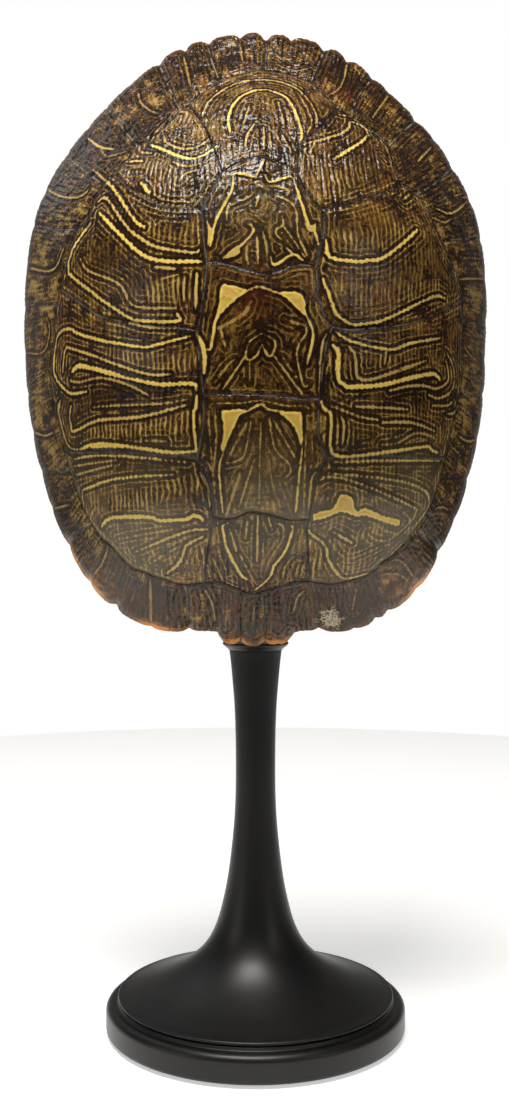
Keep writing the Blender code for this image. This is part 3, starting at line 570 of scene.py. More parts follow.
@dataclass(frozen=True)
class Dome:
    """Smooth shape of the shell's outer side, as in the CAD, with a finer rim."""

    centre_height: float = 328.6
    outline: Pairs = (
        (-90, 144.4), (-82, 142.6), (-72, 145.8), (-60, 143.6), (-45, 130.8), (-30, 120.6),
        (-15, 114.4), (0, 112.6), (15, 116.0), (30, 122.8), (45, 127.6), (60, 132.8),
        (75, 141.6), (90, 144.0),
    )
    side_depth: Pairs = (
        (0.0, -80.0), (0.2, -77.6), (0.4, -70.5), (0.6, -56.5), (0.75, -39.5), (0.85, -24.0),
        (0.93, -8.0), (0.97, 1.0), (1.0, 11.0),
    )
    neck_depth: Pairs = (
        (0.0, -80.0), (0.25, -78.0), (0.44, -72.0), (0.605, -62.0), (0.72, -50.0), (0.83, -36.0),
        (0.915, -26.0), (1.0, -18.0),
    )
    tail_depth: Pairs = (
        (0.0, -80.0), (0.12, -79.2), (0.29, -75.0), (0.45, -67.0), (0.635, -48.5),
        (0.815, -26.0), (0.91, -15.0), (1.0, -6.0),
    )
    keel_rise: float = 1.2
    keel_width: float = 7.0
    ray_lengths: tuple[float, ...] = (113.0, 144.0, 144.0)

    def radius(self, turn: Array) -> Array:
        """Distance of the rim from the centre, in the front view, along directions in radians."""
        return smooth_curve(self.outline, np.degrees(np.arcsin(np.sin(turn))))

    def _depth(self, part: Array, turn: Array, x: Array) -> Array:
        """Depth of the smooth shell.

        Args:
            part: Parts of the radius.
            turn: Directions in radians.
            x: Places across.

        Returns:
            y of each point.
        """
        across = np.cos(turn) ** 2
        end = np.where(
            np.sin(turn) > 0, smooth_curve(self.tail_depth, part), smooth_curve(self.neck_depth, part)
        )
        keel = self.keel_rise * np.exp(-((x / self.keel_width) ** 2)) * (1 - part**3)
        return across * smooth_curve(self.side_depth, part) + (1 - across) * end - keel

    def points(self, part: Array, turn: Array, trim: Array | float = 0.0) -> Array:
        """Points of the smooth shell.

        Args:
            part: Parts of the radius.
            turn: Directions in radians.
            trim: How far the radius is drawn in there, in mm.

        Returns:
            Rows of (x, y, z) from the shell's centre.
        """
        reach = part * (self.radius(turn) - trim)
        x, z = reach * np.cos(turn), reach * np.sin(turn)
        return np.column_stack([x, self._depth(part, turn, x), z])

    def raised(self, places: Array) -> Array:
        """Puts places of the front view onto the shell.

        Args:
            places: Rows of (x, z).

        Returns:
            Rows of (x, y, z) from the shell's centre.
        """
        x, z = places[:, 0], places[:, 1]
        turn = np.arctan2(z, x)
        part = np.minimum(np.hypot(x, z) / self.radius(turn), 1.0)
        return np.column_stack([x, self._depth(part, turn, x), z])

    def placed(self, points: Array) -> Array:
        """Points from the shell's centre, put at their height over the ground."""
        return points + (0.0, 0.0, self.centre_height)

    def flattened(self, part: Array, turn: Array) -> tuple[Array, Array]:
        """Rolls each ray from the centre out flat.

        Args:
            part: Parts of the radius.
            turn: Directions in radians.

        Returns:
            Where each point comes to lie, across and up, in mm.
        """
        spans = 64
        steps = np.linspace(0, 1, spans + 1)
        rays = zip((self.side_depth, self.tail_depth, self.neck_depth), self.ray_lengths)
        lengths = []
        for depth, reach in rays:
            drop = np.diff(smooth_curve(depth, steps))
            lengths.append(np.concatenate([[0], np.cumsum(np.hypot(drop, reach / spans))]))
        side, tail, neck = (np.interp(part, steps, length) for length in lengths)
        across = np.cos(turn) ** 2
        rolled = across * side + (1 - across) * np.where(np.sin(turn) > 0, tail, neck)
        return rolled * np.cos(turn), rolled * np.sin(turn)


@dataclass
class Surface:
    """Points of the shell's outer side in a square grid, and what the horn is like at each."""

    part: Array
    turn: Array
    base: Array
    normal: Array
    faces: Array
    scute: Array
    fields: dict[str, Array]


def outer_faces(points: Array, cells: int) -> Array:
    """Cells of a square grid of points, turned to face outwards.

    Args:
        points: Rows of (x, y, z), with -Y as the outer side at the middle.
        cells: Cells along a side of the square.

    Returns:
        Four corners of each cell.
    """
    corner = np.arange(cells)[:, None] * (cells + 1) + np.arange(cells)[None, :]
    corner = corner.ravel()
    faces = np.column_stack([corner, corner + cells + 1, corner + cells + 2, corner + 1])
    one = points[faces[len(faces) // 2]]
    inward = np.cross(one[1] - one[0], one[2] - one[0])[1] > 0
    return faces[:, ::-1] if inward else faces


def grid_normals(points: Array, cells: int) -> Array:
    """Directions out of a square grid of points.

    Args:
        points: Rows of (x, y, z), with -Y as the outer side at the middle.
        cells: Cells along a side of the square.

    Returns:
        One unit vector for each point.
    """
    table = points.reshape(cells + 1, cells + 1, 3)
    out = np.cross(np.gradient(table, axis=1), np.gradient(table, axis=0)).reshape(-1, 3)
    out /= np.maximum(np.linalg.norm(out, axis=1), 1e-9)[:, None]
    return out if out[len(out) // 2, 1] < 0 else -out


def border_edges(faces: Array, count: int) -> Array:
    """Edges that only one face has.

    Args:
        faces: Four corners of each face.
        count: How many points the corners are numbered from.

    Returns:
        Rows of two corners, in the order of their face.
    """
    edges = np.concatenate([faces[:, [k, (k + 1) % 4]] for k in range(4)])
    keys = edges[:, 0] * count + edges[:, 1]
    return edges[~np.isin(keys, edges[:, 1] * count + edges[:, 0])]


def plate_faces(top: Array, border: Array, count: int) -> list[list[int]]:
    """Faces of a plate with a wall along its border.

    Args:
        top: Faces of its outer side; its inner side has the same ones, `count` further on.
        border: Edges that get a wall.
        count: Points of the outer side.

    Returns:
        Corners of each face.
    """
    faces = top.tolist() + (top[:, ::-1] + count).tolist()
    return faces + [[b, a, a + count, b + count] for a, b in border.tolist()]


def square_to_disc(cells: int, even: Callable[[Array], Array]) -> tuple[Array, Array]:
    """Bends a square grid into a disc.

    Args:
        cells: Cells along a side of the square.
        even: Gives the part of the radius for an even spacing from 0 to 1.

    Returns:
        Part of the radius and direction in radians of each point.
    """
    line = np.linspace(-1, 1, cells + 1)
    a, b = (grid.ravel() for grid in np.meshgrid(line, line, indexing="ij"))
    a, b = (np.where(np.abs(side) < 1e-12, 1e-12, side) for side in (a, b))
    wide = np.abs(a) >= np.abs(b)
    turn = np.where(
        wide,
        math.pi / 4 * b / a + np.where(a < 0, math.pi, 0),
        math.pi / 2 - math.pi / 4 * a / b + np.where(b < 0, math.pi, 0),
    )
    return even(np.maximum(np.abs(a), np.abs(b))), turn


def linked(name: str, data: bpy.types.ID) -> Piece:
    """New object in the scene, at the origin.

    Args:
        name: Name of the object.
        data: Its mesh, curve, light or camera.

    Returns:
        The object.
    """
    made = bpy.data.objects.new(name, data)
    bpy.context.scene.collection.objects.link(made)
    return made


def mesh_piece(
    name: str, points: Array, faces: Iterable[Sequence[int]], fields: dict[str, Array] | None = None
) -> Piece:
    """Object made from points in mm.

    Args:
        name: Name of the piece.
        points: Rows of (x, y, z).
        faces: Corners of each face, anticlockwise from outside.
        fields: Values kept at each point, one number or three.

    Returns:
        The linked object, at the origin.
    """
    mesh = bpy.data.meshes.new(name)
    mesh.from_pydata((points * MM).tolist(), [], [list(face) for face in faces])
    for label, values in (fields or {}).items():
        kind, slot = ("FLOAT", "value") if values.ndim == 1 else ("FLOAT_VECTOR", "vector")
        mesh.attributes.new(label, kind, "POINT").data.foreach_set(slot, values.astype(np.float32).ravel())
    mesh.shade_smooth()
    return linked(name, mesh)


def applied(piece: Piece) -> bpy.types.Mesh:
    """Plain mesh of an object as its modifiers make it."""
    graph = bpy.context.evaluated_depsgraph_get()
    return bpy.data.meshes.new_from_object(piece.evaluated_get(graph), depsgraph=graph)


def cut_out(piece: Piece, cutter: Piece) -> None:
    """Takes one closed object out of another.

    Args:
        piece: Object that is cut.
        cutter: Object that cuts; it is removed.
    """
    cut = piece.modifiers.new("cut", "BOOLEAN")
    cut.operation, cut.solver, cut.object = "DIFFERENCE", "EXACT", cutter
    bored = applied(piece)
    piece.modifiers.clear()
    piece.data = bored
    bpy.data.objects.remove(cutter, do_unlink=True)


def settle(piece: Piece, finish: Material, slot: str, *nodes: str) -> None:
    """Dresses a piece and ties it to the CAD model.

    Args:
        piece: Finished object.
        finish: Its material.
        slot: Not used; the slot of the record that the finish belongs to.
        nodes: CAD nodes that it stands for.
    """
    piece.data.materials.clear()
    piece.data.materials.append(finish)
    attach(piece, BODY)
    if nodes:
        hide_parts(*nodes)
    LOG.info("%s: %d faces", piece.name, len(piece.data.polygons))


def merged(parts: Sequence[tuple[Array, Array]]) -> tuple[Array, list[list[int]]]:
    """Joins several meshes.

    Args:
        parts: Points and faces of each.

    Returns:
        Points and faces of all.
    """
    points, faces, start = [], [], 0
    for corners, sides in parts:
        points.append(corners)
        faces += [[int(k) + start for k in side] for side in sides]
        start += len(corners)
    return np.vstack(points), faces


# ---- node expressions


class Wire:
    """A value in a node tree; arithmetic on it adds Math nodes."""

    def __init__(self, graph: Nodes, socket: bpy.types.NodeSocket) -> None:
        """Wraps an output socket."""
        self.graph = graph
        self.socket = socket

    def __add__(self, other: Wire | float) -> Wire:
        """self + other"""
        return self.graph.math("ADD", self, other)

    def __radd__(self, other: float) -> Wire:
        """other + self"""
        return self.graph.math("ADD", other, self)

    def __sub__(self, other: Wire | float) -> Wire:
        """self - other"""
        return self.graph.math("SUBTRACT", self, other)

    def __rsub__(self, other: float) -> Wire:
        """other - self"""
        return self.graph.math("SUBTRACT", other, self)

    def __mul__(self, other: Wire | float) -> Wire:
        """self * other"""
        return self.graph.math("MULTIPLY", self, other)

    def __rmul__(self, other: float) -> Wire:
        """other * self"""
        return self.graph.math("MULTIPLY", other, self)

    def __truediv__(self, other: Wire | float) -> Wire:
        """self / other"""
        return self.graph.math("DIVIDE", self, other)


class Nodes:
    """A node tree, written as expressions."""

    def __init__(self, tree: bpy.types.NodeTree) -> None:
        """Takes the tree that the nodes go into."""
        self.tree = tree

    def node(
        self, kind: str, settings: dict[str, Any] | None = None, inputs: dict[str | int, Any] | None = None
    ) -> bpy.types.Node:
        """Adds a node.

        Args:
            kind: Type of the node.
            settings: Its settings, such as an operation; set first.
            inputs: Value or link of each socket, by name or number.

        Returns:
            The node.
        """
        made = self.tree.nodes.new(kind)
        for name, value in (settings or {}).items():
            setattr(made, name, value)
        for name, value in (inputs or {}).items():
            self.feed(made.inputs[name], value)
        return made

    def out(
        self,
        kind: str,
        settings: dict[str, Any] | None = None,
        inputs: dict[str | int, Any] | None = None,
        which: str | int = 0,
    ) -> Wire:
        """Adds a node, as `node` does, and gives one of its outputs."""
        return Wire(self, self.node(kind, settings, inputs).outputs[which])

    def feed(self, socket: bpy.types.NodeSocket, value: Any) -> None:
        """Gives a socket a value or a link.

        Args:
            socket: Input socket.
            value: A wire to link, or what the socket itself is set to.
        """
        if isinstance(value, Wire):
            self.tree.links.new(value.socket, socket)
        else:
            socket.default_value = value

    def math(self, operation: str, *values: Wire | float) -> Wire:
        """One Math node on numbers."""
        return self.out("ShaderNodeMath", {"operation": operation}, dict(enumerate(values)))


class Graph(Nodes):
    """The nodes of a material or a world."""

    def __init__(self, holder: Material | bpy.types.World) -> None:
        """Starts with the nodes that the holder comes with.

        Args:
            holder: Material or world that the nodes belong to.
        """
        holder.use_nodes = True
        super().__init__(holder.node_tree)
        self.holder = holder

    def field(self, name: str) -> Wire:
        """Number kept at each point of the piece."""
        return self.out("ShaderNodeAttribute", {"attribute_name": name}, which="Fac")

    def place(self) -> Wire:
        """Place on the piece in mm."""
        return self.scaled(self.out("ShaderNodeTexCoord", which="Object"), (1 / MM,) * 3)

    def grain(self) -> Wire:
        """Coordinates that follow the growth of the horn, in mm."""
        return self.out("ShaderNodeAttribute", {"attribute_name": "grain"}, which="Vector")

    def scaled(self, vector: Wire, by: tuple[float, float, float]) -> Wire:
        """A vector, times a number along each axis."""
        return self.out("ShaderNodeVectorMath", {"operation": "MULTIPLY"}, {0: vector, 1: by})

    def along(self, vector: Wire, axis: int) -> Wire:
        """One coordinate of a vector: 0, 1 or 2."""
        return self.out("ShaderNodeSeparateXYZ", {}, {0: vector}, axis)

    def noise(self, vector: Wire, scale: float, detail: float = 2.0, rough: float = 0.5) -> Wire:
        """Soft noise from 0 to 1, about 0.5; `scale` is in lumps per unit."""
        values = {"Vector": vector, "Scale": scale, "Detail": detail, "Roughness": rough}
        return self.out("ShaderNodeTexNoise", {"noise_dimensions": "3D"}, values)

    def cells(self, vector: Wire, scale: float) -> Wire:
        """Distance from the nearest of scattered points."""
        return self.out("ShaderNodeTexVoronoi", {}, {"Vector": vector, "Scale": scale}, "Distance")

    def step(self, value: Wire, low: float, high: float) -> Wire:
        """0 at low to 1 at high, eased; low may be the greater."""
        values = {"Value": value, "From Min": low, "From Max": high}
        return self.out("ShaderNodeMapRange", {"interpolation_type": "SMOOTHSTEP"}, values)

    def mix(self, share: Wire | float, one: Wire | Colour, two: Wire | Colour) -> Wire:
        """Colour `one` with a share of colour `two` over it."""
        return self.out("ShaderNodeMix", {"data_type": "RGBA"}, {0: share, 6: one, 7: two}, 2)

    def finish(self, values: dict[str, Any], height: Wire | None = None, relief: float = 0.1) -> Material:
        """Connects the shader.

        Args:
            values: Value or link of each of its sockets.
            height: Height of the fine relief, from 0 to 1.
            relief: What a height of 1 stands for, in mm.

        Returns:
            The finished material.
        """
        shader = self.tree.nodes["Principled BSDF"]
        for name, value in values.items():
            self.feed(shader.inputs[name], value)
        if height is not None:
            bump = self.node("ShaderNodeBump", {}, {"Distance": relief * MM, "Height": height})
            self.tree.links.new(bump.outputs[0], shader.inputs["Normal"])
        return self.holder


@dataclass(frozen=True)
class HornFinish:
    """Lacquered horn with pale lines that follow its growth."""

    black: Colour = srgb("#1f1109")
    brown: Colour = srgb("#4d3312")
    olive: Colour = srgb("#8f7034")
    russet: Colour = srgb("#7c4a22")
    straw: Colour = srgb("#c4a35a")
    gold: Colour = srgb("#f4d062")
    ochre: Colour = srgb("#bd8f46")
    rust: Colour = srgb("#6b2813")
    amber: Colour = srgb("#ea9430")
    bone: Colour = srgb("#d8c6a6")
    # Pale dusty colour over the lower half: partly real dust and haze in the lacquer, partly a painted
    # reflection of the pale floor and a painted glare
    dust_and_sheen: Colour = srgb("#877b5a")
    scar: Colour = srgb("#958b78")
    belly: Colour = srgb("#b99352")
    tooth_pitch: float = 2.5
    ring_pitch: float = 2.3
    ring_start: float = 1.6
    ring_fade: float = 7.0
    line_fade: float = 3.0
    halo: tuple[float, float] = (2.4, 0.9)
    border: tuple[float, float] = (13.0, 3.0)
    lip: tuple[float, float] = (4.0, 1.8)
    wobble_scale: float = 0.55
    drift_scale: float = 0.09
    broken_scale: float = 0.22
    cloud_scale: float = 0.05
    patch_scale: float = 0.14
    grit_scale: float = 0.8
    streak_scale: tuple[float, float, float] = (0.7, 0.07, 1.0)
    fade_scale: tuple[float, float, float] = (0.4, 0.07, 1.0)
    fibre_scale: tuple[float, float, float] = (0.55, 0.08, 1.0)
    shine: float = 0.14
    specular: float = 0.33
    relief: float = 1.4

    def build(self, name: str) -> Material:
        """Makes the material.

        Args:
            name: Name of the material.

        Returns:
            The material, which reads the fields that the scutes carry.
        """
        g = Graph(bpy.data.materials.new(name))
        place, grain = g.place(), g.grain()
        mark, tone, seam, echo = (g.field(n) for n in ("mark", "tone", "seam", "echo"))
        haze_and_sheen, comb, rugged, band = (g.field(n) for n in ("haze_and_sheen", "comb", "rugged", "band"))
        wobble = g.noise(place, self.wobble_scale, 3.0) - 0.5
        drift = g.noise(place, self.drift_scale, 2.0) - 0.5
        broken = g.noise(place, self.broken_scale, 3.0)
        cloud = g.noise(place, self.cloud_scale, 3.0) - 0.5
        patch = g.noise(place, self.patch_scale, 3.0) - 0.5
        grit = g.noise(place, self.grit_scale, 4.0, 0.65) - 0.5
        streak = g.noise(g.scaled(grain, self.streak_scale), 1.0, 2.0) - 0.5
        turn = 2 * math.pi
        teeth = g.math("SINE", (g.along(grain, 0) / self.tooth_pitch + 1.6 * drift + 0.6 * wobble) * turn)
        fade = g.noise(g.scaled(grain, self.fade_scale), 1.0, 2.0) - 0.5
        tooth = g.step(teeth + 2.2 * fade, -0.3, 1.0)
        growth = (echo - self.ring_start) / self.ring_pitch + 0.75 * wobble + 0.35 * drift
        rings = g.math("SINE", growth * turn)
        edge = g.math("MAXIMUM", mark, 0.0)
        line = g.step(mark + 1.1 * wobble + 0.6 * drift - 0.3 * tooth * comb, 0.3, -0.25)
        plate = 1 - g.step(comb, 0.13, 0.3)
        line = line * (0.3 + 0.7 * tone) * (1 - 0.25 * plate)
        line = line * g.step(tone + 1.5 * (broken - 0.5) + 0.6 * streak, 0.1, 0.42)
        near = g.math("EXPONENT", edge / -self.line_fade)
        ring = g.step(rings + 0.6 * wobble, 0.0, 1.0) * (0.6 + 0.4 * tooth * comb)
        ring = ring * (1 + 0.15 * haze_and_sheen) * (0.22 + 0.68 * g.math("EXPONENT", echo / -self.ring_fade))
        ring = ring * g.step(broken + patch, 0.28, 0.46) * (1 - 0.35 * plate)
        weave = (0.2 + 0.6 * tooth) * (0.8 + 1.6 * (broken - 0.5)) * comb
        weave = weave * g.math("MAXIMUM", band, 0.6 * near * g.step(broken, 0.35, 0.6))
        thin = (0.21 + 0.34 * haze_and_sheen) * (tooth - 0.4) * comb * g.step(streak + patch, -0.14, 0.14)
        ground = 0.15 + 0.8 * cloud + 0.7 * patch + 1.2 * grit + 0.45 * streak + thin
        border = plate * g.step(g.field("rim") + 3.0 * wobble + 6.0 * patch, *self.border)
        mottled = 0.9 * patch + 0.35 * cloud + (1.1 + 1.2 * haze_and_sheen) * streak + 1.1 * grit + 0.12
        mottled = mottled - 0.25 * rugged - 0.35 * haze_and_sheen
        ground = ground + plate * mottled - (0.2 + 0.3 * haze_and_sheen) * border
        ground = g.math("MINIMUM", ground + (1 - plate) * haze_and_sheen * (0.08 + 0.8 * patch), 1.3 - 0.72 * plate)
        halo = g.step(mark + 1.6 * wobble, *self.halo) * g.step(tone, 0.35, 0.8)
        soft = g.math("MAXIMUM", weave + 0.35 * grit, ring + 0.3 * grit)
        soft = g.math("MAXIMUM", soft, ground * (1 - 0.5 * band))
        soft = soft * (1 - 0.8 * halo) * g.step(seam, 0.2, 0.9) * (1 - 0.75 * g.field("dark"))
        pale = g.math("MAXIMUM", line, soft)
        umber = g.mix(g.step(g.noise(place, 0.1, 3.0) + 0.6 * grit, 0.5, 0.7) * 0.7, self.olive, self.russet)
        bright = g.mix(g.step(mark + 1.2 * grit, -0.5, -1.3) * 0.5, self.gold, self.ochre)
        bright = g.mix(g.step(grit + 0.4 * patch, 0.0, 0.25) * 0.4, bright, self.russet)
        colour = g.mix(g.step(pale, 0.0, 0.28), self.black, self.brown)
        colour = g.mix(g.step(pale, 0.18, 0.5), colour, umber)
        colour = g.mix(g.step(pale, 0.42, 0.76), colour, self.straw)
        colour = g.mix(g.step(pale, 0.76, 1.0), colour, bright)
        reddish = g.step(g.noise(place, 0.35, 3.0), 0.4, 0.6) * (1 - 0.45 * plate * haze_and_sheen)
        colour = g.mix(g.field("red") * reddish, colour, self.rust)
        clear = g.step(g.noise(place, 0.3, 3.0), 0.45, 0.65)
        colour = g.mix(g.field("amber") * clear * 0.6, colour, self.amber)
        colour = g.mix(g.step(seam + 0.6 * wobble, 0.75, 0.3) * (0.7 - 0.55 * haze_and_sheen), colour, self.black)
        crack = g.step(seam + 0.5 * wobble, 0.55, 0.15) * g.step(broken + 0.5 * patch, 0.38, 0.6)
        colour = g.mix(crack * (0.5 + 0.3 * plate * rugged) * (1 - 0.7 * haze_and_sheen), colour, self.scar)
        pits = g.step(g.cells(place, 0.75), 0.32, 0.2)
        bare = g.step(g.field("bone") + 1.2 * grit + 1.2 * patch, 0.36, 0.56)
        colour = g.mix(bare * (0.9 - 0.8 * pits) * (0.75 + 1.6 * grit), colour, self.bone)
        lip = g.step(g.field("rim") + 2.4 * wobble + 2.0 * patch, *self.lip)
        colour = g.mix(lip * (0.08 + 1.3 * g.field("amber")), colour, self.amber)
        under = g.field("under")
        smudge = g.step(g.noise(place, 0.09, 4.0), 0.5, 0.6)
        colour = g.mix(under, colour, g.mix(smudge * 0.8, self.belly, self.brown))
        # Painted reflection: a pale veil over the lower half, partly real dust in the lacquer, partly painted
        # floor reflection, plus a painted glare patch on the fourth vertebral
        dust_and_sheen_veil = haze_and_sheen * (0.42 - 0.3 * plate) * (1 - 0.75 * band) * (1 - 0.65 * g.step(pale, 0.2, 0.9))
        colour = g.mix(dust_and_sheen_veil, colour, self.dust_and_sheen)
        scuff = g.noise(place, 0.12, 4.0)
        rough = self.shine + 0.1 * (1 - g.field("gloss")) + 0.1 * haze_and_sheen * (1 - plate) + 0.16 * (scuff - 0.5)
        fibre = g.noise(g.scaled(grain, self.fibre_scale), 1.0, 1.5)
        height = 0.6 * fibre + 0.5 * g.noise(place, 0.3, 1.5) + 0.05 * teeth * comb + 0.04 * rings
        height = height * (0.3 + 0.8 * rugged) + 0.04 * line + 0.05 * g.noise(place, 1.2, 3.0)
        values = {"Base Color": colour, "Roughness": rough, "Specular IOR Level": self.specular}
        return g.finish(values, height, self.relief)


@dataclass(frozen=True)
class BoneFinish:
    """Dry bone of the shell's inner side."""

    cream: Colour = srgb("#d8c59c")
    tan: Colour = srgb("#9a7b4e")
    crack: Colour = srgb("#4f3a22")

    def build(self, name: str, sutured: bool) -> Material:
        """Makes the material.

        Args:
            name: Name of the material.
            sutured: Whether the piece carries the distance to its sutures.

        Returns:
            The material.
        """
        g = Graph(bpy.data.materials.new(name))
        place = g.place()
        cloud = g.step(g.noise(place, 0.035, 4.0), 0.38, 0.68)
        pores = g.step(g.cells(place, 0.9), 0.28, 0.14) * g.step(g.noise(place, 0.12, 2.0), 0.42, 0.6)
        colour = g.mix(0.75 * cloud, self.cream, self.tan)
        colour = g.mix(0.6 * pores, colour, self.crack)
        height = 0.6 * g.noise(place, 0.7, 4.0) - 0.7 * pores
        if sutured:
            zigzag = g.noise(place, 0.45, 3.0) - 0.5
            gap = g.step(g.field("suture") + 1.2 * zigzag, 0.75, 0.2)
            colour = g.mix(0.6 * gap, colour, self.crack)
            height = height - 0.9 * gap
        return g.finish(
            {"Base Color": colour, "Roughness": 0.52 + 0.25 * (g.noise(place, 0.2, 3.0) - 0.5)},
            height,
            relief=0.3,
        )


@dataclass(frozen=True)
class LacquerFinish:
    """Satin black lacquer over turned wood."""

    black: Colour = srgb("#060505")
    worn: Colour = srgb("#13110f")
    shine: float = 0.42

    def build(self, name: str) -> Material:
        """Makes the material.

        Args:
            name: Name of the material.

        Returns:
            The material.
        """
        g = Graph(bpy.data.materials.new(name))
        place = g.place()
        grain = g.noise(g.scaled(place, (1.0, 1.0, 0.06)), 0.8, 4.0)
        cloud = g.noise(place, 0.05, 3.0)
        speck = g.step(g.cells(place, 0.5), 0.09, 0.04)
        colour = g.mix(g.step(cloud, 0.4, 0.75) * 0.6, self.black, self.worn)
        colour = g.mix(speck * 0.35, colour, self.worn)
        rough = self.shine + 0.10 * (cloud - 0.5) + 0.05 * (grain - 0.5) + 0.15 * speck
        height = 0.5 * grain + 0.3 * g.noise(place, 0.35, 3.0) + 0.2 * speck
        return g.finish(
            {
                "Base Color": colour,
                "Roughness": rough,
                "Specular IOR Level": 0.05,
                "Coat Weight": 0.72,
                "Coat Roughness": 0.4,
            },
            height,
            relief=0.02,
        )


@dataclass(frozen=True)
class FeltFinish:
    """Pressed black felt."""

    dark: Colour = srgb("#121213")
    fibre: Colour = srgb("#2b2b2e")

    def build(self, name: str) -> Material:
        """Makes the material.

        Args:
            name: Name of the material.

        Returns:
            The material.
        """
        g = Graph(bpy.data.materials.new(name))
        place = g.place()
        hairs = g.noise(g.scaled(place, (3.0, 3.0, 6.0)), 1.2, 5.0, 0.7)
        clumps = g.noise(place, 0.5, 3.0)
        colour = g.mix(g.step(hairs, 0.4, 0.7), self.dark, self.fibre)
        return g.finish(
            {"Base Color": colour, "Roughness": 0.9 + 0.1 * (clumps - 0.5), "Sheen Weight": 0.3},
            0.7 * hairs + 0.3 * clumps,
            relief=0.25,
        )


@dataclass(frozen=True)
class SteelFinish:
    """Steel, either painted black or left bright."""

    face: Colour
    wear: Colour
    metallic: float
    shine: float
    relief: float = 0.03

    def build(self, name: str) -> Material:
        """Makes the material.

        Args:
            name: Name of the material.

        Returns:
            The material.
        """
        g = Graph(bpy.data.materials.new(name))
        place = g.place()
        drawn = g.noise(g.scaled(place, (4.0, 4.0, 0.25)), 1.0, 4.0)
        patch = g.noise(place, 0.22, 4.0)
        colour = g.mix(g.step(patch, 0.56, 0.72) * 0.6, self.face, self.wear)
        rough = self.shine + 0.25 * (patch - 0.5) + 0.12 * (drawn - 0.5)
        return g.finish(
            {"Base Color": colour, "Roughness": rough, "Metallic": self.metallic},
            0.6 * drawn + 0.4 * g.noise(place, 1.5, 3.0),
            relief=self.relief,
        )


@dataclass(frozen=True)
class FloorFinish:
    """Pale studio floor, lit a little from below."""

    glow: float = 0.52
    pale: Colour = srgb("#eeeeec")
    shade: Colour = srgb("#e6e5e2")

    def build(self, name: str) -> Material:
        """Makes the material.

        Args:
            name: Name of the material.

        Returns:
            The material.
        """
        g = Graph(bpy.data.materials.new(name))
        place = g.place()
        colour = g.mix(g.noise(place, 0.01, 4.0), self.pale, self.shade)
        return g.finish(
            {
                "Base Color": colour,
                "Roughness": 0.7,
                "Specular IOR Level": 0.2,
                "Emission Color": WHITE,
                "Emission Strength": self.glow,
            }
        )


# ---- geometry node trees


class Tree(Nodes):
    """One Geometry Nodes tree, and the modifier inputs that it is run with."""

    def __init__(self, name: str) -> None:
        """Starts a tree that takes and gives geometry.

        Args:
            name: Name of the tree.
        """
        super().__init__(bpy.data.node_groups.new(name, "GeometryNodeTree"))
        for way in ("INPUT", "OUTPUT"):
            self.tree.interface.new_socket("Geometry", in_out=way, socket_type="NodeSocketGeometry")
        self.entry = self.node("NodeGroupInput")
        self.exit = self.node("NodeGroupOutput")
        self.chosen: dict[str, Any] = {}

    def size(self, name: str, kind: str, value: Any) -> Wire:
        """Adds a named input.

        Args:
            name: Name of the input.
            kind: Type of its socket.
            value: What the modifier gives it.

        Returns:
            The input as the tree reads it.
        """
        made = self.tree.interface.new_socket(name, in_out="INPUT", socket_type=kind)
        self.chosen[made.identifier] = value
        return Wire(self, self.entry.outputs[name])

    def finish(self, geometry: Wire, material: Wire) -> None:
        """Ends the tree with plain, dressed geometry.

        Args:
            geometry: What the tree has made.
            material: Finish of all of it.
        """
        plain = self.out("GeometryNodeRealizeInstances", {}, {"Geometry": geometry})
        soft = self.out("GeometryNodeSetShadeSmooth", {}, {"Geometry": plain})
        dressed = self.out("GeometryNodeSetMaterial", {}, {"Geometry": soft, "Material": material})
        self.feed(self.exit.inputs[0], dressed)

    def run(self, carrier: Piece, name: str) -> Piece:
        """Runs the tree and keeps its result as a plain mesh.

        Args:
            carrier: Object whose geometry goes in; it is removed.
            name: Name of the result.

        Returns:
            The new object, at the origin.
        """
        modifier = carrier.modifiers.new(name, "NODES")
        modifier.node_group = self.tree
        for identifier, value in self.chosen.items():
            modifier[identifier] = value
        mesh = applied(carrier)
        mesh.name = name
        carrier.modifiers.clear()
        bpy.data.objects.remove(carrier, do_unlink=True)
        return linked(name, mesh)


def lathe(profile: Sequence[tuple[float, float]], steps: int) -> tuple[Array, list[list[int]]]:
    """Solid of revolution about Z.

    Args:
        profile: (radius, height) points in mm, down the outer side; it ends on the axis or on itself.
        steps: Divisions of a turn.

    Returns:
        Points and faces.
    """
    loop = len(profile) > 2 and profile[0] == profile[-1]
    rows = list(profile[:-1] if loop else profile)
    points: list[tuple[float, float, float]] = []
    rings: list[list[int]] = []
    for radius, height in rows:
        if radius <= 1e-9:
            rings.append([len(points)] * steps)
            points.append((0.0, 0.0, height))
            continue
        rings.append(list(range(len(points), len(points) + steps)))
        turn = np.linspace(0, 2 * math.pi, steps, endpoint=False)
        points += [(radius * math.cos(t), radius * math.sin(t), height) for t in turn]
    faces = []
    pairs = list(zip(rings, rings[1:])) + ([(rings[-1], rings[0])] if loop else [])
    for upper, lower in pairs:
        for k in range(steps):
            n = (k + 1) % steps
            corners = [upper[k], lower[k], lower[n], upper[n]]
            kept = [c for i, c in enumerate(corners) if c != corners[i - 1]]
            if len(kept) > 2:
                faces.append(kept)
    return np.array(points), faces


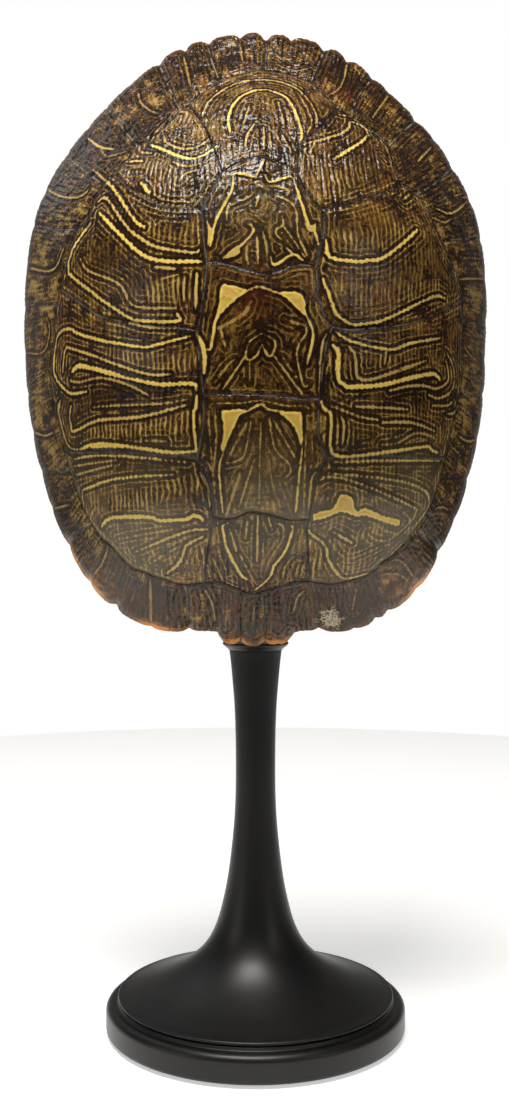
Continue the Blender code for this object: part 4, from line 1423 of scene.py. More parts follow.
def sweep(path: Array, radius: Array, sides: int) -> tuple[Array, list[list[int]]]:
    """Round bar along a path.

    Args:
        path: Rows of (x, y, z) in mm.
        radius: Radius at each row.
        sides: Sides of its section.

    Returns:
        Points and faces, closed at both ends.
    """
    along = np.gradient(path, axis=0)
    along /= np.linalg.norm(along, axis=1)[:, None]
    spin = np.linspace(0, 2 * math.pi, sides, endpoint=False)
    first = np.cross(along, np.where(np.abs(along[:, :1]) > 0.9, (0.0, 0.0, 1.0), (1.0, 0.0, 0.0)))
    first /= np.linalg.norm(first, axis=1)[:, None]
    second = np.cross(along, first)
    ring = np.cos(spin)[None, :, None] * first[:, None] + np.sin(spin)[None, :, None] * second[:, None]
    points = (path[:, None] + ring * radius[:, None, None]).reshape(-1, 3)
    faces = []
    for k in range(len(path) - 1):
        for s in range(sides):
            n = (s + 1) % sides
            faces.append([k * sides + s, k * sides + n, (k + 1) * sides + n, (k + 1) * sides + s])
    last = (len(path) - 1) * sides
    faces.append(list(range(sides))[::-1])
    faces.append([last + s for s in range(sides)])
    return points, faces


def arc(centre: tuple[float, float], radius: float, start: float, end: float, steps: int) -> Profile:
    """Points of an arc about a centre, between two angles in degrees."""
    turns = np.radians(np.linspace(start, end, steps + 1))
    return [(centre[0] + radius * math.cos(t), centre[1] + radius * math.sin(t)) for t in turns]


def outward(piece: Piece) -> Piece:
    """Turns the faces of a closed piece outwards.

    Args:
        piece: Closed object.

    Returns:
        The same object.
    """
    form = bmesh.new()
    form.from_mesh(piece.data)
    bmesh.ops.recalc_face_normals(form, faces=form.faces)
    form.to_mesh(piece.data)
    form.free()
    return piece


def creased(piece: Piece, degrees: float) -> Piece:
    """Shades a piece smooth except over its sharp edges.

    Args:
        piece: Object to shade.
        degrees: Angle past which an edge counts as sharp.

    Returns:
        The same object.
    """
    piece.data.shade_smooth()
    piece.data.set_sharp_from_angle(angle=math.radians(degrees))
    return piece


# ---- the shell


@dataclass
class Carapace:
    """The shell: its horn scutes, the bone under them and the spine along its inner side."""

    dome: Dome = field(default_factory=Dome)
    cells: int = 500
    bone_cells: int = 150
    horn: float = 1.0
    wall: float = 4.0
    lip: float = 3.6
    lip_start: float = 0.925
    bone_limit: float = 0.915
    rim_edge: float = 1.6
    rim_rows: int = 5
    seam_reach: float = 14.0
    line_reach: float = 9.0
    line_share: float = 0.84
    line_point: float = 3.5
    ring_pitch: float = 2.3
    swell_rise: float = 0.3
    swell_width: float = 4.5
    groove_depth: float = 0.16
    groove_half: float = 0.5
    ring_rise: float = 0.07
    pale_rise: float = 0.05
    pale_half: float = 0.4
    flute_depth: float = 0.6
    broad_rise: float = 0.28
    broad_wave: float = 34.0
    crinkle_rise: float = 0.13
    crinkle_waves: tuple[float, float] = (5.0, 9.0)
    fibre_rise: float = 0.035
    fibre_wave: float = 2.2
    rim_slope: float = 1.6
    haze_and_sheen_span: tuple[float, float] = (30.0, 100.0)
    knuckles: tuple[tuple[float, float, float], ...] = (
        (14.0, 9.0, 0.9), (-40.0, 9.0, 0.9), (62.0, 8.0, 0.8),
    )
    knuckle_half: float = 5.0
    plates_end: float = 0.83
    rib_rise: float = 0.9
    rib_half: float = 4.2
    rib_bow: float = 0.0016
    suture_jag: float = 0.9
    suture_far: float = 20.0
    column_half: float = 8.5
    column_end: float = 92.0
    spine_rise: float = 2.0
    spine_span: tuple[float, float] = (-94.0, 88.0)
    vertebrae: int = 10
    vertebra_radius: float = 3.0
    vertebra_swell: float = 0.26
    rib_heads: int = 8
    strut_start: float = 1.5
    strut_length: float = 15.5
    strut_radius: float = 1.35
    neck_ledge: Pairs = (
        (0.0, -1.5), (4.0, -2.0), (5.6, -2.1), (7.6, 1.9), (12.0, 1.7), (15.0, 1.0), (19.0, 0.0),
    )
    rib_heights: tuple[float, ...] = (-84.0, -61.0, -38.0, -15.0, 8.0, 31.0, 53.0, 74.0)

    def surface(self) -> Surface:
        """Lays out the outer side and works out what grows there.

        Returns:
            The outer side, without its relief.
        """
        part, turn = square_to_disc(self.cells, self._even)
        notch = self._notches(turn)
        trim = notch * ease(part, 0.95, 1.0) + 0.5 * ease(part, 0.97, 1.0)
        trim += self._ledge(turn) * ease(part, 0.92, 1.0)
        base = self.dome.points(part, turn, trim)
        faces, normal = outer_faces(base, self.cells), grid_normals(base, self.cells)
        scute = self._scute_of(base[:, 0], base[:, 2])
        made = Surface(part, turn, base, normal, faces, scute, {})
        made.fields = self._fields(made, notch)
        return made

    def _even(self, steps: Array) -> Array:
        """Spaces the points, closer together where the side is steep.

        Args:
            steps: Even steps from 0 to 1.

        Returns:
            Part of the radius at each step.
        """
        parts = np.linspace(0, 1, 200)
        rolled, _ = self.dome.flattened(parts, np.zeros(200))
        return np.interp(steps, 0.5 * parts + 0.5 * rolled / rolled[-1], parts)

    def _notches(self, turn: Array) -> Array:
        """How far the rim draws in at its notches.

        Args:
            turn: Directions in radians.

        Returns:
            Depth of the notch in each direction, in mm.
        """
        total = np.zeros_like(turn)
        for degrees, deep, half in RIM_NOTCHES:
            away = (turn - math.radians(degrees) + math.pi) % (2 * math.pi) - math.pi
            across = np.abs(away) * self.dome.radius(turn)
            total = np.maximum(total, deep * np.clip(1 - across / (2.2 * half), 0, 1) ** 2.0)
        return total

    def _ledge(self, turn: Array) -> Array:
        """How far the rim draws in beside the lobes at the neck, in mm, along directions."""
        away = np.abs((turn + 1.5 * math.pi) % (2 * math.pi) - math.pi)
        return smooth_curve(self.neck_ledge, np.degrees(away))

    def _outline(self, name: str) -> Array:
        """Chains the seams round a scute.

        Args:
            name: Name of the scute.

        Returns:
            Rows of (x, z) along its border.
        """
        chain = [rounded_line(SEAMS[SCUTE_BORDERS[name][0]])]
        for border in SCUTE_BORDERS[name][1:]:
            line = rounded_line(SEAMS[border])
            end = chain[-1][-1]
            if np.hypot(*(line[-1] - end)) < np.hypot(*(line[0] - end)):
                line = line[::-1]
            chain.append(line)
        return np.vstack(chain)

    def _scute_of(self, x: Array, z: Array) -> Array:
        """Which scute each place of the front view lies in.

        Args:
            x: Places across.
            z: Places up.

        Returns:
            Number of the scute at each place; the rim's come after the others.
        """

        def across(line: Array, at: Array, axis: int) -> Array:
            """Where a seam lies, read along the other axis."""
            order = np.argsort(line[:, axis])
            return np.interp(at, line[order, axis], line[order, 1 - axis])

        names = list(SCUTE_BORDERS)
        sides = (MARGINAL_SEAMS_LEFT, MARGINAL_SEAMS_RIGHT)
        left, right = ([np.reshape(seam, (-1, 2)) for seam in side] for side in sides)
        split = np.where(z > 0, left[0][0, 0], (left[-1][0, 0] + right[-1][0, 0]) / 2)
        parting = [across(side[k], x, 0) for side, k in zip((left, right), RIM_PARTING)]
        found = len(names) + (x >= split) + 2 * (z < np.where(x < split, *parting))
        nuchal = (z < -100) & (x > across(left[-1], z, 1)) & (x < across(right[-1], z, 1))
        found = np.where(nuchal, len(names) + 4, found)
        for number, name in enumerate(names):
            corners = self._outline(name)
            low, high = corners.min(0), corners.max(0)
            near = np.flatnonzero((x > low[0]) & (x < high[0]) & (z > low[1]) & (z < high[1]))
            found[near[inside(x[near], z[near], corners)]] = number
        return found

    def _near(self, points: Array, line: Array, reach: float) -> Array:
        """Numbers of the points within reach of a line's box."""
        low, high = line.min(0) - reach, line.max(0) + reach
        return np.flatnonzero(((points > low) & (points < high)).all(1))

    def _fields(self, s: Surface, notch: Array) -> dict[str, Array]:
        """What the horn is like at each point.

        Args:
            s: The outer side.
            notch: Depth of the rim's notch in each point's direction, in mm.

        Returns:
            Distances in mm and shares from 0 to 1, by name.
        """
        count = len(s.base)
        seam = np.full(count, self.seam_reach)
        lines = [rounded_line(places) for places in SEAMS.values()]
        lines += [rounded_line(places) for places in (*MARGINAL_SEAMS_LEFT, *MARGINAL_SEAMS_RIGHT)]
        for flat in lines:
            line = self.dome.raised(flat)
            near = self._near(s.base, line, self.seam_reach)
            gap = line_distance(s.base[near], line, np.zeros(len(line)))
            seam[near] = np.minimum(seam[near], gap)
        mark, tone = np.full(count, self.line_reach), np.zeros(count)
        for (width, pale), drawn in PALE_LINES.items():
            for places in drawn:
                self._lay(s, mark, tone, Stroke(width, pale, places))
        for shape in PALE_SHAPES:
            self._fill(s, mark, tone, shape)
        u, v = self.dome.flattened(s.part, s.turn)
        rim_scute = s.scute >= len(SCUTE_BORDERS)
        radial = np.hypot(u, v)
        grain = np.column_stack(
            [
                np.where(rim_scute, s.turn * self.dome.radius(s.turn), u),
                np.where(rim_scute, radial, v),
                s.scute * 9.7,
            ]
        )
        x, z = s.base[:, 0], s.base[:, 2]
        fields = {
            "seam": seam,
            "mark": mark,
            "tone": tone,
            "echo": np.minimum(seam, np.maximum(mark, 0.0)),
            "grain": grain,
            "rim": (1 - s.part) * self.dome.radius(s.turn) * self.rim_slope,
            "notch": notch,
            "comb": self._comb(s.scute),
            "band": self._bands(s),
            "rugged": np.maximum(ease(z, 25.0, 75.0), ease(-z, 85.0, 105.0) * (np.abs(x) < 40)),
            # Lower half: real haze in the lacquer plus a painted reflection of the floor; the last term is a
            # painted glare patch on the fourth vertebral
            "haze_and_sheen": np.clip(ease(-z, *self.haze_and_sheen_span) * (0.85 + 0.3 * ripple(x, z, 45.0, 4)), 0, 1)
            * np.where(s.scute == list(SCUTE_BORDERS).index("first_vertebral"), 0.45, 0.95)
            + 0.22 * np.exp(-(((x - 3) / 24) ** 2) - ((z - 42) / 15) ** 2),
            "under": np.zeros(count),
        }
        for kind in Stain:
            share = np.zeros(count)
            for cx, cz, wide, tall, strength in STAINS[kind]:
                away = ((x - cx) / wide) ** 2 + ((z - cz) / tall) ** 2
                share = np.maximum(share, strength * np.exp(-away))
            fields[kind.value] = share
        return fields

    def _comb(self, scute: Array) -> Array:
        """How much of the horn the fine cross lines cover: most on the pleurals.

        Args:
            scute: Number of the scute at each point.

        Returns:
            Share from 0 to 1 at each point.
        """
        kinds = {"pleural": 1.0, "first_vertebral": 0.6, "vertebral": 0.4, "": 0.12}
        names = [*SCUTE_BORDERS, *RIM_SCUTES]
        return np.array([next(v for kind, v in kinds.items() if kind in n) for n in names])[scute]

    def _bands(self, s: Surface) -> Array:
        """How close together the fine cross lines stand.

        Args:
            s: The outer side.

        Returns:
            Share from 0 to 1 at each point.
        """
        share = np.zeros(len(s.base))
        for band in BANDS:
            line = self.dome.raised(rounded_line(band.places))
            near = self._near(s.base, line, band.width)
            gap = line_distance(s.base[near], line, np.zeros(len(line)))
            part = band.tone * (1 - ease(gap, 0.3 * band.width, 0.65 * band.width))
            share[near] = np.maximum(share[near], part)
        return share

    def _lay(self, s: Surface, mark: Array, tone: Array, stroke: Stroke) -> None:
        """Adds a pale line to the distance and tone fields.

        Args:
            s: The outer side.
            mark: Distance to the nearest pale line at each point, changed in place.
            tone: Tone of that line, changed in place.
            stroke: The line.
        """
        line = self.dome.raised(rounded_line(stroke.places))
        near = self._near(s.base, line, self.line_reach)
        run = np.concatenate([[0], np.cumsum(np.linalg.norm(np.diff(line, axis=0), axis=1))])
        ends = np.minimum(run, run[-1] - run) / self.line_point
        half = self.line_share * stroke.width / 2 * (0.45 + 0.55 * np.clip(ends, 0, 1))
        self._keep(mark, tone, near, line_distance(s.base[near], line, half), stroke.tone)

    def _fill(self, s: Surface, mark: Array, tone: Array, shape: Shape) -> None:
        """Adds a pale shape to the distance and tone fields.

        Args:
            s: The outer side.
            mark: Distance to the nearest pale line at each point, changed in place.
            tone: Tone of that line, changed in place.
            shape: The shape.
        """
        flat = rounded_line((*shape.places, *shape.places[:2]))
        line = self.dome.raised(flat)
        near = self._near(s.base, line, self.line_reach)
        gap = line_distance(s.base[near], line, np.zeros(len(line)))
        within = inside(s.base[near, 0], s.base[near, 2], flat[:-1])
        self._keep(mark, tone, near, np.where(within, -gap, gap), shape.tone)

    def _keep(self, mark: Array, tone: Array, near: Array, gap: Array, new: float) -> None:
        """Takes over the points that a new line is nearer to than the ones before it.

        Args:
            mark: Distance to the nearest pale line at each point, changed in place.
            tone: Tone of that line, changed in place.
            near: Numbers of the points that the new line can reach.
            gap: Their distances to it.
            new: Its tone.
        """
        closer = gap < mark[near]
        mark[near[closer]] = gap[closer]
        tone[near[closer]] = new

    def _relief(self, s: Surface) -> Array:
        """Shapes the horn.

        Args:
            s: The outer side.

        Returns:
            Height over the smooth dome at each point, in mm.
        """
        f = s.fields
        seam, u, v = f["seam"], f["grain"][:, 0], f["grain"][:, 1]
        x, z = s.base[:, 0], s.base[:, 2]
        swell = self.swell_rise * (1 - np.exp(-seam / self.swell_width))
        groove = -self.groove_depth * np.exp(-((seam / self.groove_half) ** 2))
        waves = (seam + 0.7 * ripple(x, z, 14.0, 2)) / self.ring_pitch
        rings = self.ring_rise * np.sin(2 * math.pi * waves)
        rings *= ease(seam, 0.6, 1.8) * (1 - ease(seam, 9.0, 13.0))
        broad = self.broad_rise * ripple(x, z, self.broad_wave, 1)
        short, long = self.crinkle_waves
        crinkle = np.abs(ripple(x, z, short, 5)) + np.abs(ripple(x, z, long, 6)) - 1.2
        crinkle = self.crinkle_rise * crinkle
        crinkle *= 0.25 + 0.75 * f["rugged"]
        fine = self.fibre_rise * ripple(u, v * 0.14, self.fibre_wave, 3) * (0.4 + f["comb"])
        pale = self.pale_rise * np.exp(-((np.maximum(f["mark"], 0) / self.pale_half) ** 2)) * f["tone"]
        flute = -self.flute_depth * np.clip(f["notch"], 0, 1.6) ** 0.9 * ease(s.part, 0.86, 0.99)
        flute *= 0.45 + 0.55 * ease(z, 60.0, 115.0)
        total = swell + groove + rings + broad + crinkle + fine + pale + flute
        for height, half, rise in self.knuckles:
            total += rise * np.exp(-(((z - height) / half) ** 2 + (x / self.knuckle_half) ** 2))
        return total

    def _thickness(self, part: Array) -> Array:
        """Depth of a scute's inner side under the smooth dome, in mm: thin over bone, a lip at the rim."""
        lip = self.rim_edge + (self.lip - self.rim_edge) * ease(1 - part, 0.0, 0.05)
        return self.horn + (lip - self.horn) * ease(part, self.lip_start, self.lip_start + 0.02)

    def scutes(self, s: Surface, finish: Material) -> None:
        """Builds the scutes as closed pieces: one for each of the middle rows, and five for the rim.

        Args:
            s: The outer side.
            finish: The horn.
        """
        outer = s.base + s.normal * self._relief(s)[:, None]
        inner = s.base - s.normal * self._thickness(s.part)[:, None]
        centre = s.base[s.faces].mean(1)
        owner = self._scute_of(centre[:, 0], centre[:, 2])
        for number, name in enumerate([*SCUTE_BORDERS, *RIM_SCUTES]):
            chosen = s.faces[owner == number]
            points, faces, fields = self._closed(s, outer, inner, chosen)
            ending = "scutes" if "marginals" in name else "scute"
            piece = mesh_piece(f"{name}_{ending}", points, faces, fields)
            settle(piece, finish, "horn_scutes", "carapace")

    def _closed(
        self, s: Surface, outer: Array, inner: Array, chosen: Array
    ) -> tuple[Array, list[list[int]], dict[str, Array]]:
        """Closes some of the outer side's faces into a solid.

        Args:
            s: The outer side.
            outer: Its raised points.
            inner: The points under them.
            chosen: The faces to keep.

        Returns:
            Points, faces, and the fields at each point.
        """
        used, flat = np.unique(chosen, return_inverse=True)
        top = flat.reshape(chosen.shape)
        count = len(used)
        border = border_edges(top, count)
        at_rim = (s.part[used] > 1 - 1e-9)[border].all(1)
        rim = border[at_rim]
        faces = plate_faces(top, border[~at_rim], count)
        points, kept = [outer[used], inner[used]], [used, used]
        under = [np.zeros(count), np.ones(count)]
        if len(rim):
            ends = np.unique(rim)
            place = {int(k): i for i, k in enumerate(ends)}
            turn = s.turn[used[ends]]
            away = self.dome.points(np.ones(len(ends)), turn)
            away -= self.dome.points(np.full(len(ends), 0.985), turn)
            away /= np.linalg.norm(away, axis=1)[:, None]
            middle = (outer[used[ends]] + inner[used[ends]]) / 2
            half = (outer[used[ends]] - inner[used[ends]]) / 2
            for row in range(1, self.rim_rows + 1):
                theta = math.pi * row / (self.rim_rows + 1)
                bulge = np.linalg.norm(half, axis=1)[:, None] * math.sin(theta)
                points.append(middle + math.cos(theta) * half + bulge * away)
                kept.append(used[ends])
                under.append(np.full(len(ends), row / (self.rim_rows + 1)))

            def level(corner: int, row: int) -> int:
                """Number of a point round the rim's edge.

                Args:
                    corner: Point of the outer side that it belongs to.
                    row: Row from the outer side, which is 0, to the inner side.

                Returns:
                    Its place in the list of points.
                """
                if row == 0:
                    return corner
                if row == self.rim_rows + 1:
                    return corner + count
                return 2 * count + (row - 1) * len(ends) + place[corner]

            rows = range(self.rim_rows + 1)
            for a, b in rim.tolist():
                faces += [[level(b, k), level(a, k), level(a, k + 1), level(b, k + 1)] for k in rows]
            starts, stops = set(rim[:, 0].tolist()), set(rim[:, 1].tolist())
            column = range(self.rim_rows + 2)
            faces += [[level(c, k) for k in column] for c in stops - starts]
            faces += [[level(c, k) for k in reversed(column)] for c in starts - stops]
        source = np.concatenate(kept)
        fields = {k: values[source] for k, values in s.fields.items() if k != "notch"}
        fields["under"] = np.concatenate(under)
        return self.dome.placed(np.vstack(points)), faces, fields

    def bone(self, finish: Material) -> None:
        """Builds the plate of fused bones under the scutes, with its ribs and sutures.

        Args:
            finish: The bone.
        """
        part, turn = square_to_disc(self.bone_cells, lambda q: q * self.bone_limit)
        base = self.dome.points(part, turn)
        faces, normal = outer_faces(base, self.bone_cells), grid_normals(base, self.bone_cells)
        u, v = self.dome.flattened(part, turn)
        rise, suture = np.zeros(len(part)), np.full(len(part), self.suture_far)
        jag = self.suture_jag * ripple(u, v, 5.0, 9)
        bow = 1 + self.rib_bow * np.abs(u)
        heights = np.array(self.rib_heights)
        for low in heights:
            ridge = self.rib_rise * np.exp(-(((v - low * bow) / self.rib_half) ** 2))
            rise += ridge * ease(np.abs(u), 4.0, 16.0) * (1 - ease(part, 0.78, 0.9))
        middles = [*(heights[1:] + heights[:-1]) / 2, heights[0] - 12, heights[-1] + 11]
        for between in middles:
            gap = np.abs(v + jag - between * bow)
            suture = np.minimum(suture, np.where(part < self.plates_end, gap, self.suture_far))
        suture = np.minimum(suture, np.abs((part - self.plates_end) * 120 + jag))
        beside = np.abs(np.abs(u) + jag - self.column_half)
        suture = np.minimum(suture, np.where(np.abs(v) < self.column_end, beside, self.suture_far))
        rise += 0.25 * ripple(u, v, 18.0, 7) - 0.3 * np.exp(-((suture / 0.8) ** 2))
        spine = self.spine_rise * np.exp(-((u / 4.5) ** 2)) * (1 - ease(np.abs(v), 80.0, 105.0))
        deep = self.wall + (rise + spine) * (1 - ease(part, 0.86, self.bone_limit))
        count = len(base)
        points = np.vstack([base - normal * (self.horn + 0.05), base - normal * deep[:, None]])
        closed = plate_faces(faces, border_edges(faces, count), count)
        piece = mesh_piece("carapace_bone", self.dome.placed(points), closed, {"suture": np.tile(suture, 2)})
        settle(piece, finish, "horn_scutes", "carapace")

    def spine(self, finish: Material) -> None:
        """Builds the row of vertebrae along the inner side, with a rib head to each side of most.

        Args:
            finish: The bone.
        """
        heights = np.linspace(*self.spine_span, 60)
        row = self.dome.placed(self.dome.raised(np.column_stack([np.zeros_like(heights), heights])))
        row[:, 1] += self.wall + self.vertebra_radius - 0.1
        curve = bpy.data.curves.new("spine_line", "CURVE")
        curve.dimensions = "3D"
        path = curve.splines.new("POLY")
        path.points.add(len(row) - 1)
        for point, place in zip(path.points, row * MM):
            point.co = (*place, 1.0)
        strut = self._rib_head()
        tree = Tree("vertebrae")
        beads = tree.size("Vertebrae", "NodeSocketInt", self.vertebrae)
        radius = tree.size("Radius", "NodeSocketFloat", self.vertebra_radius * MM)
        swell = tree.size("Swell", "NodeSocketFloat", self.vertebra_swell)
        heads = tree.size("Rib heads", "NodeSocketInt", self.rib_heads)
        head = tree.size("Rib head", "NodeSocketObject", strut)
        dress = tree.size("Material", "NodeSocketMaterial", finish)
        line = Wire(tree, tree.entry.outputs[0])
        fine = tree.out("GeometryNodeResampleCurve", {}, {"Curve": line, "Count": beads * 16.0})
        along = tree.out("GeometryNodeSplineParameter", which="Factor")
        size = (tree.math("COSINE", along * beads * (2 * math.pi)) * swell + 1.0) * radius
        ring = tree.out("GeometryNodeCurvePrimitiveCircle", {}, {"Resolution": 20, "Radius": 1.0})
        links = {"Curve": fine, "Profile Curve": ring, "Scale": size, "Fill Caps": True}
        tube = tree.out("GeometryNodeCurveToMesh", {}, links)
        spots = tree.out("GeometryNodeCurveToPoints", {}, {"Curve": line, "Count": heads}, "Points")
        shape = tree.out("GeometryNodeObjectInfo", {}, {"Object": head}, "Geometry")
        pairs = tree.out("GeometryNodeInstanceOnPoints", {}, {"Points": spots, "Instance": shape})
        joined = tree.node("GeometryNodeJoinGeometry")
        for part in (tube, pairs):
            tree.feed(joined.inputs[0], part)
        tree.finish(Wire(tree, joined.outputs[0]), dress)
        made = tree.run(linked("spine_line", curve), "carapace_vertebrae")
        bpy.data.objects.remove(strut, do_unlink=True)
        settle(outward(made), finish, "horn_scutes", "carapace")

    def _rib_head(self) -> Piece:
        """Slender arched struts to both sides of one vertebra.

        Returns:
            The object that the tree puts on each vertebra.
        """
        parts = []
        for side in (-1, 1):
            out = np.linspace(0, 1, 14)
            across = side * (self.strut_start + self.strut_length * out)
            arch = 0.9 * np.sin(math.pi * out) - 1.2 * out**2
            path = np.column_stack([across, arch, 2.5 * out**1.5])
            parts.append(sweep(path, self.strut_radius - 0.5 * np.sin(math.pi * out), 10))
        return mesh_piece("rib_head", *merged(parts))


# ---- the stand


@dataclass
class TurnedStand:
    """Felt pad, foot, column and collar, all turned about the same axis."""

    steps: int = 160
    felt_radius: float = 66.0
    felt_thick: float = 1.0
    foot_radius: float = 71.0
    foot_top: float = 15.4
    column_foot: float = 15.7
    column_top: float = 179.6
    collar_top: float = 183.7
    socket_radius: float = 3.3
    socket_floor: float = 157.6
    flare: Pairs = (
        (12.5, 179.6), (11.9, 174.9), (11.0, 165.3), (10.0, 152.0), (9.5, 135.0), (9.5, 115.0),
        (10.1, 100.0), (11.4, 86.0), (13.3, 71.5), (15.7, 59.5), (18.6, 49.5), (22.6, 41.3),
        (28.0, 34.8), (36.0, 28.8), (48.0, 22.8), (60.0, 18.6), (64.4, 17.5),
    )
    ledge_radius: float = 64.6
    ledge_round: float = 0.5
    cove: tuple[float, float, float] = (66.2, 14.6, 0.7)
    shoulder: tuple[float, float] = (67.4, 13.9)
    foot_side: tuple[float, float, float] = (10.4, 6.0, 3.4)
    foot_round: float = 3.5
    foot_low_round: float = 1.6
    stem_radius: float = 12.1
    plate_edge: tuple[float, float, float] = (64.5, 16.6, 0.9)
    plate_under: float = 64.2
    collar_edge: float = 15.0
    collar_flat: float = 14.9
    collar_cup: Pairs = ((15.6, 1.1), (14.9, 1.9), (13.6, 2.9))
    collar_foot: float = 12.8
    collar_round: float = 0.75

    def _turned(self, name: str, profile: Profile, crease: float = 38.0) -> Piece:
        """A turned piece, smooth but for its sharp edges."""
        return creased(outward(mesh_piece(name, *lathe(profile, self.steps))), crease)

    def build(self, lacquer: Material, felt: Material) -> None:
        """Builds and dresses the four pieces.

        Args:
            lacquer: Finish of the wood.
            felt: Finish of the pad.
        """
        r, t = self.felt_radius, self.felt_thick
        edge = arc((r - 0.4, t / 2), t / 2 - 0.02, 80, -80, 6)
        pad = [(0.0, t), (r - 0.5, t), *edge, (r - 0.5, 0.0), (0.0, 0.0)]
        settle(self._turned("felt_under_foot", pad, 60.0), felt, "felt", "felt_pad")
        settle(self._turned("turned_foot", self._foot()), lacquer, "black_wood", "stand_foot")
        settle(self._turned("turned_column", self._column()), lacquer, "black_wood", "stand_column")
        settle(self._turned("turned_collar", self._collar()), lacquer, "black_wood", "stand_collar")

    def _foot(self) -> Profile:
        """Foot: a rounded slab with a small step under the column's plate.

        Returns:
            Its profile, down the outer side.
        """
        top, r, low = self.foot_top, self.foot_radius, self.felt_thick + 0.3
        ledge, cove = (self.ledge_radius, top - self.ledge_round), self.cove
        side, under = r - self.foot_round, self.foot_low_round
        made: Profile = [(0.0, top), (self.ledge_radius, top), *arc(ledge, self.ledge_round, 90, 20, 4)]
        made += [*arc(cove[:2], cove[2], 200, 270, 4), self.shoulder]
        high, middle, lower = self.foot_side
        made += [*arc((side, high), self.foot_round, 88, 0, 14), (r, middle), (r, lower)]
        return made + [*arc((r - under, low + under), under, 0, -90, 6), (0.0, low)]

    def _column(self) -> Profile:
        """Column: a waisted stem that flares into a wide thin plate, with a socket for the rod.

        Returns:
            Its profile, from the socket's floor down the outer side.
        """
        made: Profile = [(0.0, self.socket_floor), (self.socket_radius, self.socket_floor)]
        made += [(self.socket_radius, self.column_top), (self.stem_radius, self.column_top)]
        made += [tuple(row) for row in rounded_line(self.flare, 8)]
        made += arc(self.plate_edge[:2], self.plate_edge[2], 84, -80, 8)
        return made + [(self.plate_under, self.column_foot), (0.0, self.column_foot)]

    def _collar(self) -> Profile:
        """Collar: a thin rim that closes the top of the column.

        Returns:
            Its profile, closed round the hole for the rod.
        """
        base, top, hole = self.column_top + 0.3, self.collar_top, self.socket_radius
        cup = [(radius, top - drop) for radius, drop in self.collar_cup]
        curve = rounded_line((*cup, (self.collar_foot, base)), 5)
        rim = arc((self.collar_edge, top - self.collar_round), self.collar_round, 90, -30, 8)
        return [(hole, top), (self.collar_flat, top), *rim, *map(tuple, curve), (hole, base), (hole, top)]


